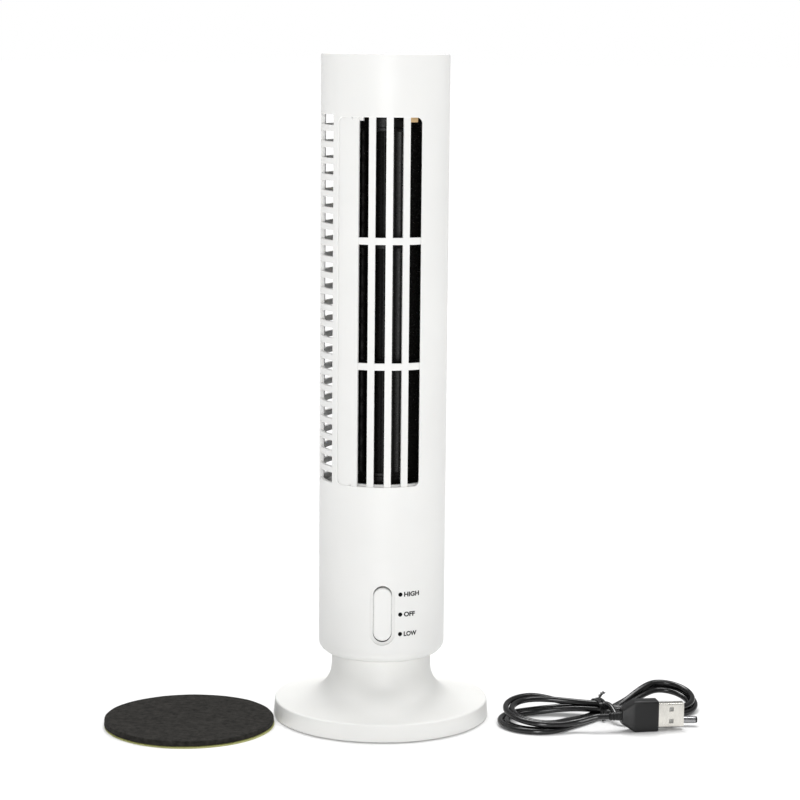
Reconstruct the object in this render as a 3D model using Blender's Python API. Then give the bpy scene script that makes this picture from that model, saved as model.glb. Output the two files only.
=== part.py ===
"""Small USB tower fan: a two-shell tower on a trumpet base, with its lead and its stick-on foot pad.

Metres, +Z up. The origin is the middle of the base's underside, and the front faces -Y.
An angle around the tower is measured from the front, and grows towards +X.
"""

import math

import bmesh
import bpy
from mathutils import Matrix, Vector

# ---------------------------------------------------------------- clearances
GAP = 0.0003                 # between pieces that touch
RUNNING_GAP = 0.0005         # between a moving piece and what it moves in
OVERSHOOT = 0.003            # how far a cutter runs past the wall that it cuts
BITE = 0.0004                # how far one joined shape reaches into the next
AXIS_MERGE = 0.000001        # points of a turned outline that lie on its axis become one

# ---------------------------------------------------------------- tower
TOTAL_HEIGHT = 0.330
TOWER_RADIUS = 0.0314
TOWER_WALL = 0.0020
TOWER_BOTTOM = 0.0332        # height of the tower's underside
TOWER_BOTTOM_FILLET = 0.0060
TOWER_TOP_ROUND = 0.0006
SEAM_GAP = GAP               # between the front and rear shells
TOWER_STEPS = 14             # facets around each half shell
CAP_THICKNESS = 0.0026
CAP_RECESS = 0.0010          # the cap sits this far below the rim
CAP_CHAMFER = 0.0004
CAP_LEDGE = 0.0020           # width and height of the ledge under the cap
FLOOR_HOLE_RADIUS = 0.0050

# ---------------------------------------------------------------- air outlet
OUTLET_TOP_BELOW_TOP = 0.0308    # from the tower's top edge down to the outlet
OUTLET_BOTTOM = 0.1220       # above the floor
OUTLET_LEFT = -46.4          # degrees from the front
OUTLET_RIGHT = 33.6
OUTLET_CORNER = 0.0030
CORNER_STEPS = 3
OUTLET_ROWS = 3
OUTLET_ROW_BAR = 0.0034
OUTLET_COLUMNS = 4
OUTLET_FIRST_SLOT = -24.9    # left edge of the first slot, degrees
OUTLET_SLOT_ANGLE = 9.3
OUTLET_SLOT_PITCH = 15.7     # the last slot runs on to the window's right edge
OUTLET_EDGE_REVEAL = 1.2     # degrees of open grille behind that edge
STRIP_RIGHT = -31.2          # right edge of the blank strip beside the slots
STRIP_RECESS = 0.0012        # strip face below the shell's surface
GRILLE_RECESS = 0.0005       # bar faces below the shell's surface
GRILLE_FLANGE = 0.0026       # how far the grille's frame reaches behind the shell
GRILLE_FLANGE_ANGLE = 4.2
GRILLE_THICKNESS = 0.0020    # of the frame behind the shell

# ---------------------------------------------------------------- air intake
INTAKE_TOP_BELOW_TOP = 0.0280
INTAKE_BOTTOM = 0.1230       # above the floor
INTAKE_ROWS = 23
INTAKE_BAR = 0.0030          # height of the bars between the rows of slots
SIDE_INTAKE_LEFT = -84.0     # the one column in the front shell
SIDE_INTAKE_RIGHT = -53.5
REAR_INTAKE_COLUMNS = 4
REAR_SLOT_ANGLE = 27.6
REAR_RIB_ANGLE = 4.2

# ---------------------------------------------------------------- blower
WHEEL_RADIUS = 0.0215
WHEEL_INNER_RADIUS = 0.0155
WHEEL_BOTTOM_ABOVE_OUTLET = 0.0030
WHEEL_TOP_BELOW_OUTLET = 0.0042
WHEEL_DISC = 0.0021
WHEEL_RING = 0.0012
WHEEL_SECTIONS = 3
WHEEL_STEPS = 24
WHEEL_BLADES = 14
BLADE_THICKNESS = 0.0007
BLADE_SWEEP = 24.0           # degrees between a blade's inner and outer edge
AXLE_RADIUS = 0.0015
HUB_RADIUS = 0.0050
HUB_HEIGHT = 0.0040
PLATE_THICKNESS = 0.0024     # of the motor mount and the bearing bracket
BUSH_RADIUS = 0.0030
BUSH_HEIGHT = 0.0050
RUBBER_RADIUS = 0.0060
SEAL_DROP = 0.0016           # how far the foam seal shows below the outlet's top edge
SEAL_DEPTH = 0.0020

# ---------------------------------------------------------------- motor
MOTOR_RADIUS = 0.0120
MOTOR_LENGTH = 0.0180
MOTOR_BELL_THICKNESS = 0.0022
MOTOR_BOSS_RADIUS = 0.0030
MOTOR_BOSS_HEIGHT = 0.0012
MOTOR_SHAFT_RADIUS = 0.0010
MOTOR_SCREW_CIRCLE = 0.0085
COUPLER_RADIUS = 0.0044
COUPLER_SPIGOT_RADIUS = 0.0026
MOTOR_SCREW_RADIUS = 0.0008
MOTOR_SCREW_HEAD_RADIUS = 0.0018
MOTOR_SCREW_DEPTH = 0.0030
MOTOR_EDGE = 0.0008          # chamfer of the can, and how much narrower its end bell is
MOTOR_TERMINAL_X = 0.0050
TAB_WIDTH = 0.0020           # of the motor's solder tabs
TAB_LENGTH = 0.0040
TAB_THICKNESS = 0.0006

# ---------------------------------------------------------------- speed switch
SWITCH_HEIGHT = 0.0584       # middle of the rocker above the floor
RECESS_WIDTH = 0.0122
RECESS_LENGTH = 0.0310
RECESS_DEPTH = 0.0014        # of the racetrack recess, at the middle of the front
RECESS_LEDGE = 0.0012        # width of the flat ledge around the rocker
ROCKER_SIDE_GAP = 0.0004
ROCKER_END_GAP = 0.0010
ROCKER_FACE_RECESS = 0.0002  # rocker face behind the tower's surface line
ROCKER_THICKNESS = 0.0034
ROCKER_PIVOT_DEPTH = 0.0064  # pivot axis behind the tower's surface line
PIVOT_RADIUS = 0.0010
HOUSING_WALL = 0.0014
HOUSING_DEPTH = 0.0130
TERMINAL_SPACING = 0.0080
TERMINAL_LENGTH = 0.0055
TERMINAL_WIDTH = 0.0030
TERMINAL_THICKNESS = 0.0008
HOUSING_CLEARANCE = 0.0004   # between the rocker's hole and the housing's inside
ROCKER_BEVEL = 0.0006
ROCKER_LUG_WALL = 0.0014     # of the lug, around the pivot pin

# ---------------------------------------------------------------- supply socket
JACK_HEIGHT = 0.0470
JACK_SIZE = 0.0086
JACK_LENGTH = 0.0115
JACK_NOSE_RADIUS = 0.0032
JACK_BORE_RADIUS = 0.0020
JACK_BORE_DEPTH = 0.0098
JACK_PIN_RADIUS = 0.0005
JACK_PIN_RECESS = 0.0010     # pin's end behind the nose's end
JACK_NOSE_RECESS = 0.0005    # nose's end behind the tower's surface line

# ---------------------------------------------------------------- base
BASE_RADIUS = 0.0539
BASE_DRAFT = 0.0005
BASE_RIM_TOP = 0.0092
BASE_EDGE_ROUND = 0.0008
BASE_LIFT = 0.0006           # rim above the floor, so that the plate takes the weight
BASE_WALL = 0.0022
NECK_RADIUS = 0.0248
NECK_STRAIGHT = 0.0052       # straight part of the neck below the tower
FLARE_POWER = 2.5            # 2 is an ellipse, more is squarer
BASE_STEPS = 36
FLARE_STEPS = 8
BASE_PLATE_THICKNESS = 0.0024
BASE_SCREW_INSET = 0.0139    # from the rim to the screws' circle
BASE_SCREWS = 4
NECK_SCREW_OFFSET = 0.0113
NECK_POST_HEIGHT = 0.0085
NECK_SCREW_HOLE = 0.0090     # depth of its pilot hole above the tower's underside
NECK_SCREW_REACH = 0.0080
BASE_SCREW_REACH = 0.0082
BOSS_WALL = 0.0020

# ---------------------------------------------------------------- screws
SCREW_RADIUS = 0.0011
SCREW_HEAD_EDGE = 0.0007     # height of the head's upright edge
SCREW_HEAD_CHAMFER = 0.0008
SCREW_HOLE_RADIUS = SCREW_RADIUS + GAP
SCREW_HEAD_RADIUS = 0.0026
SCREW_HEAD_HEIGHT = 0.0012
SHELL_SCREW_INSET = 0.0030   # from the rear post to the inside of the wall
SHELL_SCREW_SEAT = 0.0120    # depth of the head's seat behind the seam plane
SHELL_SCREW_REACH = 0.0100   # how far the thread goes into the front shell
BOSS_RADIUS = SCREW_HOLE_RADIUS + BOSS_WALL
SEAT_WALL = 0.0015
REAR_BOSS_RADIUS = SCREW_HEAD_RADIUS + GAP + SEAT_WALL

# ---------------------------------------------------------------- wiring
WIRE_DIAMETER = 0.0011
RESISTOR_RADIUS = 0.0016
RESISTOR_LENGTH = 0.0080
RESISTOR_LEAD_RADIUS = 0.0004
RESISTOR_LEAD_LENGTH = 0.0040
RESISTOR_PLACE = (-0.0095, 0.0010, 0.0680)

# ---------------------------------------------------------------- foot pad, beside the fan
PAD_RADIUS = 0.0420
PAD_THICKNESS = 0.0028
LINER_THICKNESS = 0.0006
LINER_MARGIN = 0.0004
PAD_BESIDE = 0.0017          # from the pad's edge to the base's rim
PAD_BEARING = -78.1          # direction of the pad's middle, degrees from the front
LINER_SHIFT = Vector((0.0004, -0.0006, 0.0))

# ---------------------------------------------------------------- supply lead, beside the fan
CORD_DIAMETER = 0.0030
HANK_LEFT = (BASE_RADIUS + 0.0276, -0.0180)      # middle of the left lobe
HANK_RIGHT = (BASE_RADIUS + 0.0846, 0.0050)      # middle of the right lobe
HANK_LOBE_RADIUS = 0.0215
HANK_WAIST = 0.0062          # half the width where the tie holds the strands
HANK_HEIGHT = 0.0100
TIE_WIDTH = 0.0030
TIE_THICKNESS = 0.0008
USB_BODY_LENGTH = 0.0184     # with the taper behind the strain relief
USB_TAPER_LENGTH = 0.0066
USB_BODY_WIDTH = 0.0156      # upright, because the plug lies on its narrow edge
USB_BODY_THICKNESS = 0.0074
USB_BODY_CORNER = 0.0012
USB_BODY_BEVEL = 0.0005
USB_RELIEF_LENGTH = 0.0060
USB_RELIEF_RADIUS = 0.0027
USB_RELIEF_START = 0.0023    # its radius where the cord enters
USB_RELIEF_STEP = 0.0002     # length of the step up to the overmould
USB_SHOULDER = 0.0004        # height of that step
USB_SHELL_LENGTH = 0.0128
USB_SHELL_WIDTH = 0.0120
USB_SHELL_THICKNESS = 0.0045
USB_SHELL_WALL = 0.0004
USB_TONGUE_THICKNESS = 0.0018
USB_TONGUE_RECESS = 0.0008   # tongue's end behind the metal shell's end
USB_WINDOW = 0.0022          # side of the square holes in the metal shell
USB_WINDOW_OFFSET = 0.0030   # from the shell's middle line, and from its middle length
USB_PLACE = (BASE_RADIUS + 0.0596, -0.0325)      # where the cord enters the strain relief
USB_TURN = 8.0               # degrees that the plug points away from +X
DC_PLACE = (BASE_RADIUS + 0.0751, -0.0222)
DC_BODY_RADIUS = 0.0033
DC_BODY_LENGTH = 0.0135
DC_RELIEF_LENGTH = 0.0050
DC_RELIEF_RADIUS = 0.0020
DC_RELIEF_FLARE = 0.0003     # how much wider the relief is at the plug
DC_BODY_BEVEL = 0.0006
DC_BARREL_RADIUS = 0.00175
DC_BARREL_LENGTH = 0.0095
DC_BORE_RADIUS = 0.0007
DC_TIP_LENGTH = 0.0012
STRAIGHT_END = 0.0060        # the cord runs straight into its plug over this length
# Route points of the lead's two short ends; each then runs on into its plug.
USB_TAIL_ROUTE = [(BASE_RADIUS + 0.0460, -0.0309, 0.0050)]
DC_TAIL_ROUTE = [(BASE_RADIUS + 0.0626, -0.0120, 0.0042),
                 (BASE_RADIUS + 0.0637, -0.0182, 0.0036)]

# ---------------------------------------------------------------- worked out from the above
TOWER_INNER = TOWER_RADIUS - TOWER_WALL
SHELL_SCREW_X = TOWER_INNER - SHELL_SCREW_INSET - REAR_BOSS_RADIUS
FACET_ANGLE = 180.0 / TOWER_STEPS + 2.0      # widest facet of a shape that follows the tower
CUTTER_FACET = 40.0          # a slot cutter reaches so far past the wall that this is enough
OUTLET_TOP = TOTAL_HEIGHT - OUTLET_TOP_BELOW_TOP
OUTLET_HEIGHT = OUTLET_TOP - OUTLET_BOTTOM
OUTLET_SLOT_HEIGHT = (OUTLET_HEIGHT - (OUTLET_ROWS - 1) * OUTLET_ROW_BAR) / OUTLET_ROWS
INTAKE_TOP = TOTAL_HEIGHT - INTAKE_TOP_BELOW_TOP
INTAKE_PITCH = (INTAKE_TOP - INTAKE_BOTTOM + INTAKE_BAR) / INTAKE_ROWS
INTAKE_SLOT_HEIGHT = INTAKE_PITCH - INTAKE_BAR
WHEEL_BOTTOM = OUTLET_BOTTOM + WHEEL_BOTTOM_ABOVE_OUTLET
WHEEL_TOP = OUTLET_TOP - WHEEL_TOP_BELOW_OUTLET
CAP_TOP = TOTAL_HEIGHT - CAP_RECESS
CAP_BOTTOM = CAP_TOP - CAP_THICKNESS
MOUNT_TOP = OUTLET_BOTTOM - GRILLE_FLANGE - GAP
MOUNT_BOTTOM = MOUNT_TOP - PLATE_THICKNESS
BRACKET_BOTTOM = OUTLET_TOP + GRILLE_FLANGE + GAP
BRACKET_TOP = BRACKET_BOTTOM + PLATE_THICKNESS
MOTOR_TOP = MOUNT_BOTTOM - GAP
MOTOR_BOTTOM = MOTOR_TOP - MOTOR_LENGTH
TAB_BOTTOM = MOTOR_BOTTOM - GAP - TAB_LENGTH
LOW_BOSS_Z = MOUNT_BOTTOM - GAP - REAR_BOSS_RADIUS
HIGH_BOSS_Z = BRACKET_TOP + GAP + REAR_BOSS_RADIUS
NECK_TOP = TOWER_BOTTOM - GAP
NECK_LOW = TOWER_BOTTOM - NECK_STRAIGHT
ROCKER_HOLE_WIDTH = RECESS_WIDTH - 2 * RECESS_LEDGE
ROCKER_HOLE_LENGTH = RECESS_LENGTH - 2 * RECESS_LEDGE
ROCKER_WIDTH = ROCKER_HOLE_WIDTH - 2 * ROCKER_SIDE_GAP
ROCKER_LENGTH = ROCKER_HOLE_LENGTH - 2 * ROCKER_END_GAP
PIVOT_Y = -TOWER_RADIUS + ROCKER_PIVOT_DEPTH
ROCKER_LUG_WIDTH = ROCKER_WIDTH / 2
HOUSING_INNER_X = ROCKER_HOLE_WIDTH / 2 + HOUSING_CLEARANCE
HOUSING_INNER_Z = ROCKER_HOLE_LENGTH / 2 + HOUSING_CLEARANCE
HOUSING_OUTER_X = HOUSING_INNER_X + HOUSING_WALL
HOUSING_OUTER_Z = HOUSING_INNER_Z + HOUSING_WALL
HOUSING_FRONT = -math.sqrt(TOWER_INNER ** 2 - HOUSING_OUTER_X ** 2) + RUNNING_GAP
HOUSING_BACK = HOUSING_FRONT + HOUSING_DEPTH
TERMINAL_FRONT = HOUSING_BACK + GAP
TERMINAL_BACK = TERMINAL_FRONT + TERMINAL_LENGTH


# ================================================================ tools
def clear_scene():
    for item in list(bpy.data.objects):
        bpy.data.objects.remove(item, do_unlink=True)


def material(name, colour, roughness, metallic=0.0):
    """A plain Principled material; every piece gets one of its own."""
    mat = bpy.data.materials.new(name)
    mat.use_nodes = True
    shader = mat.node_tree.nodes["Principled BSDF"]
    shader.inputs["Base Color"].default_value = (*colour, 1.0)
    shader.inputs["Roughness"].default_value = roughness
    shader.inputs["Metallic"].default_value = metallic
    mat.diffuse_color = (*colour, 1.0)
    return mat


WHITE = (0.86, 0.86, 0.85)
BLACK = (0.015, 0.015, 0.016)
STEEL = (0.62, 0.62, 0.64)


def around(radius, degrees, height):
    """The point at an angle from the front of the tower."""
    turn = math.radians(degrees)
    return Vector((radius * math.sin(turn), -radius * math.cos(turn), height))


def finish(name, bm, mat, smooth_degrees=40.0):
    """Turn a bmesh into an object with outward faces and smooth round sides."""
    bmesh.ops.recalc_face_normals(bm, faces=bm.faces)
    mesh = bpy.data.meshes.new(name)
    bm.to_mesh(mesh)
    bm.free()
    mesh.shade_smooth()
    mesh.set_sharp_from_angle(angle=math.radians(smooth_degrees))
    if mat:
        mesh.materials.append(mat)
    item = bpy.data.objects.new(name, mesh)
    bpy.context.collection.objects.link(item)
    return item


def add_loft(bm, rings, closed=False):
    """Skin rings of equally many points; ends are capped unless the loft closes on itself."""
    loops = [[bm.verts.new(point) for point in ring] for ring in rings]
    count = len(loops[0])
    pairs = list(zip(loops, loops[1:]))
    if closed:
        pairs.append((loops[-1], loops[0]))
    for first, second in pairs:
        for i in range(count):
            j = (i + 1) % count
            bm.faces.new((first[i], first[j], second[j], second[i]))
    if not closed:
        bm.faces.new(loops[0])
        bm.faces.new(list(reversed(loops[-1])))


def turned(name, profile, mat, steps=BASE_STEPS, start=-180.0, end=180.0):
    """Turn a closed (radius, height) outline about Z, all the way or through a sector."""
    full = end - start >= 360.0
    count = steps if full else steps + 1
    bm = bmesh.new()
    rings = []
    for i in range(count):
        degrees = start + (end - start) * i / steps
        rings.append([around(radius, degrees, height) for radius, height in profile])
    add_loft(bm, rings, closed=full)
    bmesh.ops.remove_doubles(bm, verts=bm.verts, dist=AXIS_MERGE)
    loose = [edge for edge in bm.edges if not edge.link_faces]
    bmesh.ops.delete(bm, geom=loose, context="EDGES")
    return finish(name, bm, mat)


def add_rod(bm, start, end, radius, sides):
    """A cylinder between two points, added to a bmesh."""
    start = Vector(start)
    end = Vector(end)
    turn = (end - start).to_track_quat("Z", "Y").to_matrix().to_4x4()
    middle = Matrix.Translation((start + end) / 2)
    bmesh.ops.create_cone(bm, cap_ends=True, segments=sides, radius1=radius, radius2=radius,
                          depth=(end - start).length, matrix=middle @ turn)


def rod(name, start, end, radius, mat, sides=20):
    bm = bmesh.new()
    add_rod(bm, start, end, radius, sides)
    return finish(name, bm, mat)


def add_block(bm, low, high):
    """A box from its lowest to its highest corner, added to a bmesh."""
    low = Vector(low)
    high = Vector(high)
    size = Matrix.Diagonal((*(high - low), 1.0))
    bmesh.ops.create_cube(bm, size=1.0, matrix=Matrix.Translation((low + high) / 2) @ size)


def block(name, low, high, mat, bevel=0.0):
    bm = bmesh.new()
    add_block(bm, low, high)
    if bevel:
        bmesh.ops.bevel(bm, geom=bm.edges[:], offset=bevel, segments=1, affect="EDGES")
    return finish(name, bm, mat)


def prism(name, outline, low, high, mat=None):
    """Extrude an outline of (x, y) points from one height to another."""
    bm = bmesh.new()
    add_loft(bm, [[Vector((x, y, z)) for x, y in outline] for z in (low, high)])
    return finish(name, bm, mat)


def racetrack(width, length, arc_steps=8):
    """A slot outline with round ends, its length along the second axis."""
    radius = width / 2
    straight = length / 2 - radius
    points = []
    for centre, first in ((straight, 0.0), (-straight, math.pi)):
        for i in range(arc_steps + 1):
            turn = first + math.pi * i / arc_steps
            points.append((radius * math.cos(turn), centre + radius * math.sin(turn)))
    return points


def join_shape(target, tool, operation):
    """Join, cut or trim an object with another one, which is then only a guide."""
    step = target.modifiers.new(tool.name, "BOOLEAN")
    step.operation = operation
    step.solver = "EXACT"
    step.object = tool
    tool.hide_render = True
    tool.display_type = "WIRE"


def rods_guide(name, rods, sides=16):
    """Several separate rods in one guide, each given as start, end and radius."""
    bm = bmesh.new()
    for start, end, radius in rods:
        add_rod(bm, start, end, radius, sides)
    return finish(name, bm, None)


def add_wedge(bm, left, right, low, high, inner, outer, facet):
    """A box with radial sides, between two angles of the tower, in facets of at most an angle."""
    spans = math.ceil((right - left) / facet)
    angles = [left + (right - left) * i / spans for i in range(spans + 1)]
    rings = []
    for degrees in angles:
        rings.append([around(inner, degrees, low), around(outer, degrees, low),
                      around(outer, degrees, high), around(inner, degrees, high)])
    add_loft(bm, rings)


def smooth_route(points, spacing):
    """Points at an even spacing on a smooth curve through the given ones."""
    nodes = [Vector(point) for point in points]
    nodes = [2 * nodes[0] - nodes[1]] + nodes + [2 * nodes[-1] - nodes[-2]]
    fine = []
    for a, b, c, d in zip(nodes, nodes[1:], nodes[2:], nodes[3:]):
        for i in range(24):
            t = i / 24
            fine.append(0.5 * (2 * b + (c - a) * t + (2 * a - 5 * b + 4 * c - d) * t * t
                               + (3 * b - a - 3 * c + d) * t ** 3))
    fine.append(nodes[-2])
    lengths = [0.0]
    for first, second in zip(fine, fine[1:]):
        lengths.append(lengths[-1] + (second - first).length)
    count = max(2, round(lengths[-1] / spacing))
    route = []
    k = 0
    for i in range(count + 1):
        target = lengths[-1] * i / count
        while k < len(lengths) - 2 and lengths[k + 1] < target:
            k += 1
        share = (target - lengths[k]) / (lengths[k + 1] - lengths[k])
        route.append(fine[k].lerp(fine[k + 1], min(1.0, share)))
    return route


def tube(name, points, diameter, mat):
    """A cord or wire: a curve with a round bevel and filled ends."""
    route = smooth_route(points, 2 * diameter)
    curve = bpy.data.curves.new(name, "CURVE")
    curve.dimensions = "3D"
    curve.bevel_depth = diameter / 2
    curve.bevel_resolution = 2
    curve.use_fill_caps = True
    spline = curve.splines.new("POLY")
    spline.points.add(len(route) - 1)
    for point, place in zip(spline.points, route):
        point.co = (*place, 1.0)
    curve.materials.append(mat)
    item = bpy.data.objects.new(name, curve)
    bpy.context.collection.objects.link(item)
    return item


# ================================================================ tower shells
def tower_profile():
    """The wall of the tower from its rim to the hole in its floor, as a closed outline."""
    top = TOTAL_HEIGHT
    ledge_top = CAP_BOTTOM - GAP
    ledge_inner = TOWER_INNER - CAP_LEDGE
    fillet_centre = TOWER_RADIUS - TOWER_BOTTOM_FILLET
    fillet_height = TOWER_BOTTOM + TOWER_BOTTOM_FILLET
    inner_fillet = TOWER_BOTTOM_FILLET - TOWER_WALL
    outline = [(TOWER_INNER, top), (TOWER_RADIUS - TOWER_TOP_ROUND, top),
               (TOWER_RADIUS, top - TOWER_TOP_ROUND)]
    turns = [math.radians(15.0 * i) for i in range(7)]
    for turn in turns:
        outline.append((fillet_centre + TOWER_BOTTOM_FILLET * math.cos(turn),
                        fillet_height - TOWER_BOTTOM_FILLET * math.sin(turn)))
    outline.append((FLOOR_HOLE_RADIUS, TOWER_BOTTOM))
    outline.append((FLOOR_HOLE_RADIUS, TOWER_BOTTOM + TOWER_WALL))
    for turn in reversed(turns[::2]):
        outline.append((fillet_centre + inner_fillet * math.cos(turn),
                        fillet_height - inner_fillet * math.sin(turn)))
    outline.append((TOWER_INNER, ledge_top - CAP_LEDGE))
    outline.append((ledge_inner, ledge_top - CAP_LEDGE))
    outline.append((ledge_inner, ledge_top))
    outline.append((TOWER_INNER, ledge_top))
    return outline


def half_shell(name, middle, mat):
    """Half of the tower around a middle angle, short of the seam plane by half the gap."""
    shell = turned(name, tower_profile(), mat, TOWER_STEPS, middle - 90.0, middle + 90.0)
    seam = block(name + "_seam_guide",
                 (-2 * TOWER_RADIUS, -SEAM_GAP / 2, 0.0),
                 (2 * TOWER_RADIUS, SEAM_GAP / 2, 2 * TOTAL_HEIGHT), None)
    join_shape(shell, seam, "DIFFERENCE")
    return shell


def shell_screw_places():
    return [(side * SHELL_SCREW_X, height)
            for height in (LOW_BOSS_Z, HIGH_BOSS_Z) for side in (-1, 1)]


def neck_screw_places(side):
    """The two neck screws that go into the front (-1) or rear (1) shell."""
    return [(x * NECK_SCREW_OFFSET, side * NECK_SCREW_OFFSET) for x in (-1, 1)]


def add_bosses(shell, side, radius):
    """Screw posts, trimmed to end inside the wall."""
    rods = []
    for x, z in shell_screw_places():
        rods.append(((x, side * SEAM_GAP / 2, z), (x, side * TOWER_RADIUS, z), radius))
    floor = TOWER_BOTTOM + TOWER_WALL - BITE
    for x, y in neck_screw_places(side):
        rods.append(((x, y, floor), (x, y, floor + NECK_POST_HEIGHT), BOSS_RADIUS))
    posts = rods_guide(shell.name + "_posts_guide", rods)
    middle_of_wall = TOWER_RADIUS - TOWER_WALL / 2
    core = turned(shell.name + "_core_guide",
                  [(0.0, 0.0), (middle_of_wall, 0.0), (middle_of_wall, TOTAL_HEIGHT),
                   (0.0, TOTAL_HEIGHT)], None, 2 * TOWER_STEPS)
    join_shape(posts, core, "INTERSECT")
    join_shape(shell, posts, "UNION")


def intake_slots(name, columns):
    """Cutters for the rows of intake slots, in each column given as (left, right) degrees."""
    bm = bmesh.new()
    for row in range(INTAKE_ROWS):
        high = INTAKE_TOP - row * INTAKE_PITCH
        for left, right in columns:
            add_wedge(bm, left, right, high - INTAKE_SLOT_HEIGHT, high,
                      TOWER_INNER - OVERSHOOT, TOWER_RADIUS + OVERSHOOT, CUTTER_FACET)
    return finish(name, bm, None)


def curved_plate(name, field, corner, inner, outer, mat=None):
    """A round-cornered plate that follows the tower; field is left, right, low, high."""
    left, right, low, high = field
    wide = math.degrees(corner / TOWER_RADIUS)
    turns = [math.radians(90.0 * i / CORNER_STEPS) for i in range(CORNER_STEPS + 1)]
    spans = math.ceil((right - left - 2 * wide) / FACET_ANGLE)
    stations = [(left + wide * (1 - math.sin(turn)), corner * (1 - math.cos(turn)))
                for turn in reversed(turns)]
    stations += [(left + wide + (right - left - 2 * wide) * i / spans, 0.0)
                 for i in range(1, spans)]
    stations += [(right - wide * (1 - math.sin(turn)), corner * (1 - math.cos(turn)))
                 for turn in turns]
    bm = bmesh.new()
    add_loft(bm, [[around(inner, angle, low + inset), around(outer, angle, low + inset),
                   around(outer, angle, high - inset), around(inner, angle, high - inset)]
                  for angle, inset in stations])
    return finish(name, bm, mat)


def front_facing(outline, depths, height):
    """Rings of an (x, z) outline that faces the front, one at each y value."""
    return [[Vector((x, y, height + z)) for x, z in outline] for y in depths]


def make_front_shell():
    mat = material("front_shell_plastic", WHITE, 0.35)
    shell = half_shell("front_shell", 0.0, mat)
    add_bosses(shell, -1, BOSS_RADIUS)
    window = curved_plate("window_guide", (OUTLET_LEFT, OUTLET_RIGHT, OUTLET_BOTTOM, OUTLET_TOP),
                          OUTLET_CORNER, TOWER_INNER - OVERSHOOT, TOWER_RADIUS + OVERSHOOT)
    join_shape(shell, window, "DIFFERENCE")
    slots = intake_slots("side_intake_guide", [(SIDE_INTAKE_LEFT, SIDE_INTAKE_RIGHT)])
    join_shape(shell, slots, "DIFFERENCE")
    recess_floor = -TOWER_RADIUS + RECESS_DEPTH
    for name, width, length, back in (
            ("recess_guide", RECESS_WIDTH, RECESS_LENGTH, recess_floor),
            ("rocker_hole_guide", ROCKER_HOLE_WIDTH, ROCKER_HOLE_LENGTH,
             -TOWER_INNER + OVERSHOOT)):
        bm = bmesh.new()
        add_loft(bm, front_facing(racetrack(width, length), [-TOWER_RADIUS - OVERSHOOT, back],
                                  SWITCH_HEIGHT))
        join_shape(shell, finish(name, bm, None), "DIFFERENCE")
    holes = []
    for x, z in shell_screw_places():
        holes.append(((x, OVERSHOOT, z), (x, -SHELL_SCREW_REACH - GAP, z), SCREW_HOLE_RADIUS))
    for x, y in neck_screw_places(-1):
        holes.append(((x, y, TOWER_BOTTOM - OVERSHOOT), (x, y, TOWER_BOTTOM + NECK_SCREW_HOLE),
                      SCREW_HOLE_RADIUS))
    join_shape(shell, rods_guide("front_holes_guide", holes), "DIFFERENCE")
    return shell


def rear_intake_columns():
    """Left and right edge of each rear column, centred on the back of the tower."""
    pitch = REAR_SLOT_ANGLE + REAR_RIB_ANGLE
    first = 180.0 - (REAR_INTAKE_COLUMNS * pitch - REAR_RIB_ANGLE) / 2
    return [(first + i * pitch, first + i * pitch + REAR_SLOT_ANGLE)
            for i in range(REAR_INTAKE_COLUMNS)]


def make_rear_shell():
    mat = material("rear_shell_plastic", WHITE, 0.35)
    shell = half_shell("rear_shell", 180.0, mat)
    add_bosses(shell, 1, REAR_BOSS_RADIUS)
    join_shape(shell, intake_slots("rear_intake_guide", rear_intake_columns()), "DIFFERENCE")
    holes = []
    seats = []
    for x, z in shell_screw_places():
        holes.append(((x, -OVERSHOOT, z), (x, SHELL_SCREW_SEAT + OVERSHOOT, z),
                      SCREW_HOLE_RADIUS))
        seats.append(((x, SHELL_SCREW_SEAT, z), (x, TOWER_RADIUS + OVERSHOOT, z),
                      SCREW_HEAD_RADIUS + GAP))
    for x, y in neck_screw_places(1):
        holes.append(((x, y, TOWER_BOTTOM - OVERSHOOT), (x, y, TOWER_BOTTOM + NECK_SCREW_HOLE),
                      SCREW_HOLE_RADIUS))
    holes.append(((0.0, TOWER_INNER - OVERSHOOT, JACK_HEIGHT),
                  (0.0, TOWER_RADIUS + OVERSHOOT, JACK_HEIGHT), JACK_NOSE_RADIUS + GAP))
    join_shape(shell, rods_guide("rear_holes_guide", holes), "DIFFERENCE")
    join_shape(shell, rods_guide("screw_seats_guide", seats), "DIFFERENCE")
    return shell


def make_top_cap():
    radius = TOWER_INNER - GAP
    mat = material("top_cap_plastic", WHITE, 0.35)
    turned("top_cap", [(0.0, CAP_TOP), (radius - CAP_CHAMFER, CAP_TOP),
                       (radius, CAP_TOP - CAP_CHAMFER), (radius, CAP_BOTTOM), (0.0, CAP_BOTTOM)],
           mat, 2 * TOWER_STEPS)


def outlet_columns():
    """Left and right edge of each column of outlet slots."""
    columns = []
    for i in range(OUTLET_COLUMNS):
        left = OUTLET_FIRST_SLOT + i * OUTLET_SLOT_PITCH
        columns.append((left, left + OUTLET_SLOT_ANGLE))
    columns[-1] = (columns[-1][0], OUTLET_RIGHT + OUTLET_EDGE_REVEAL)
    return columns


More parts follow.
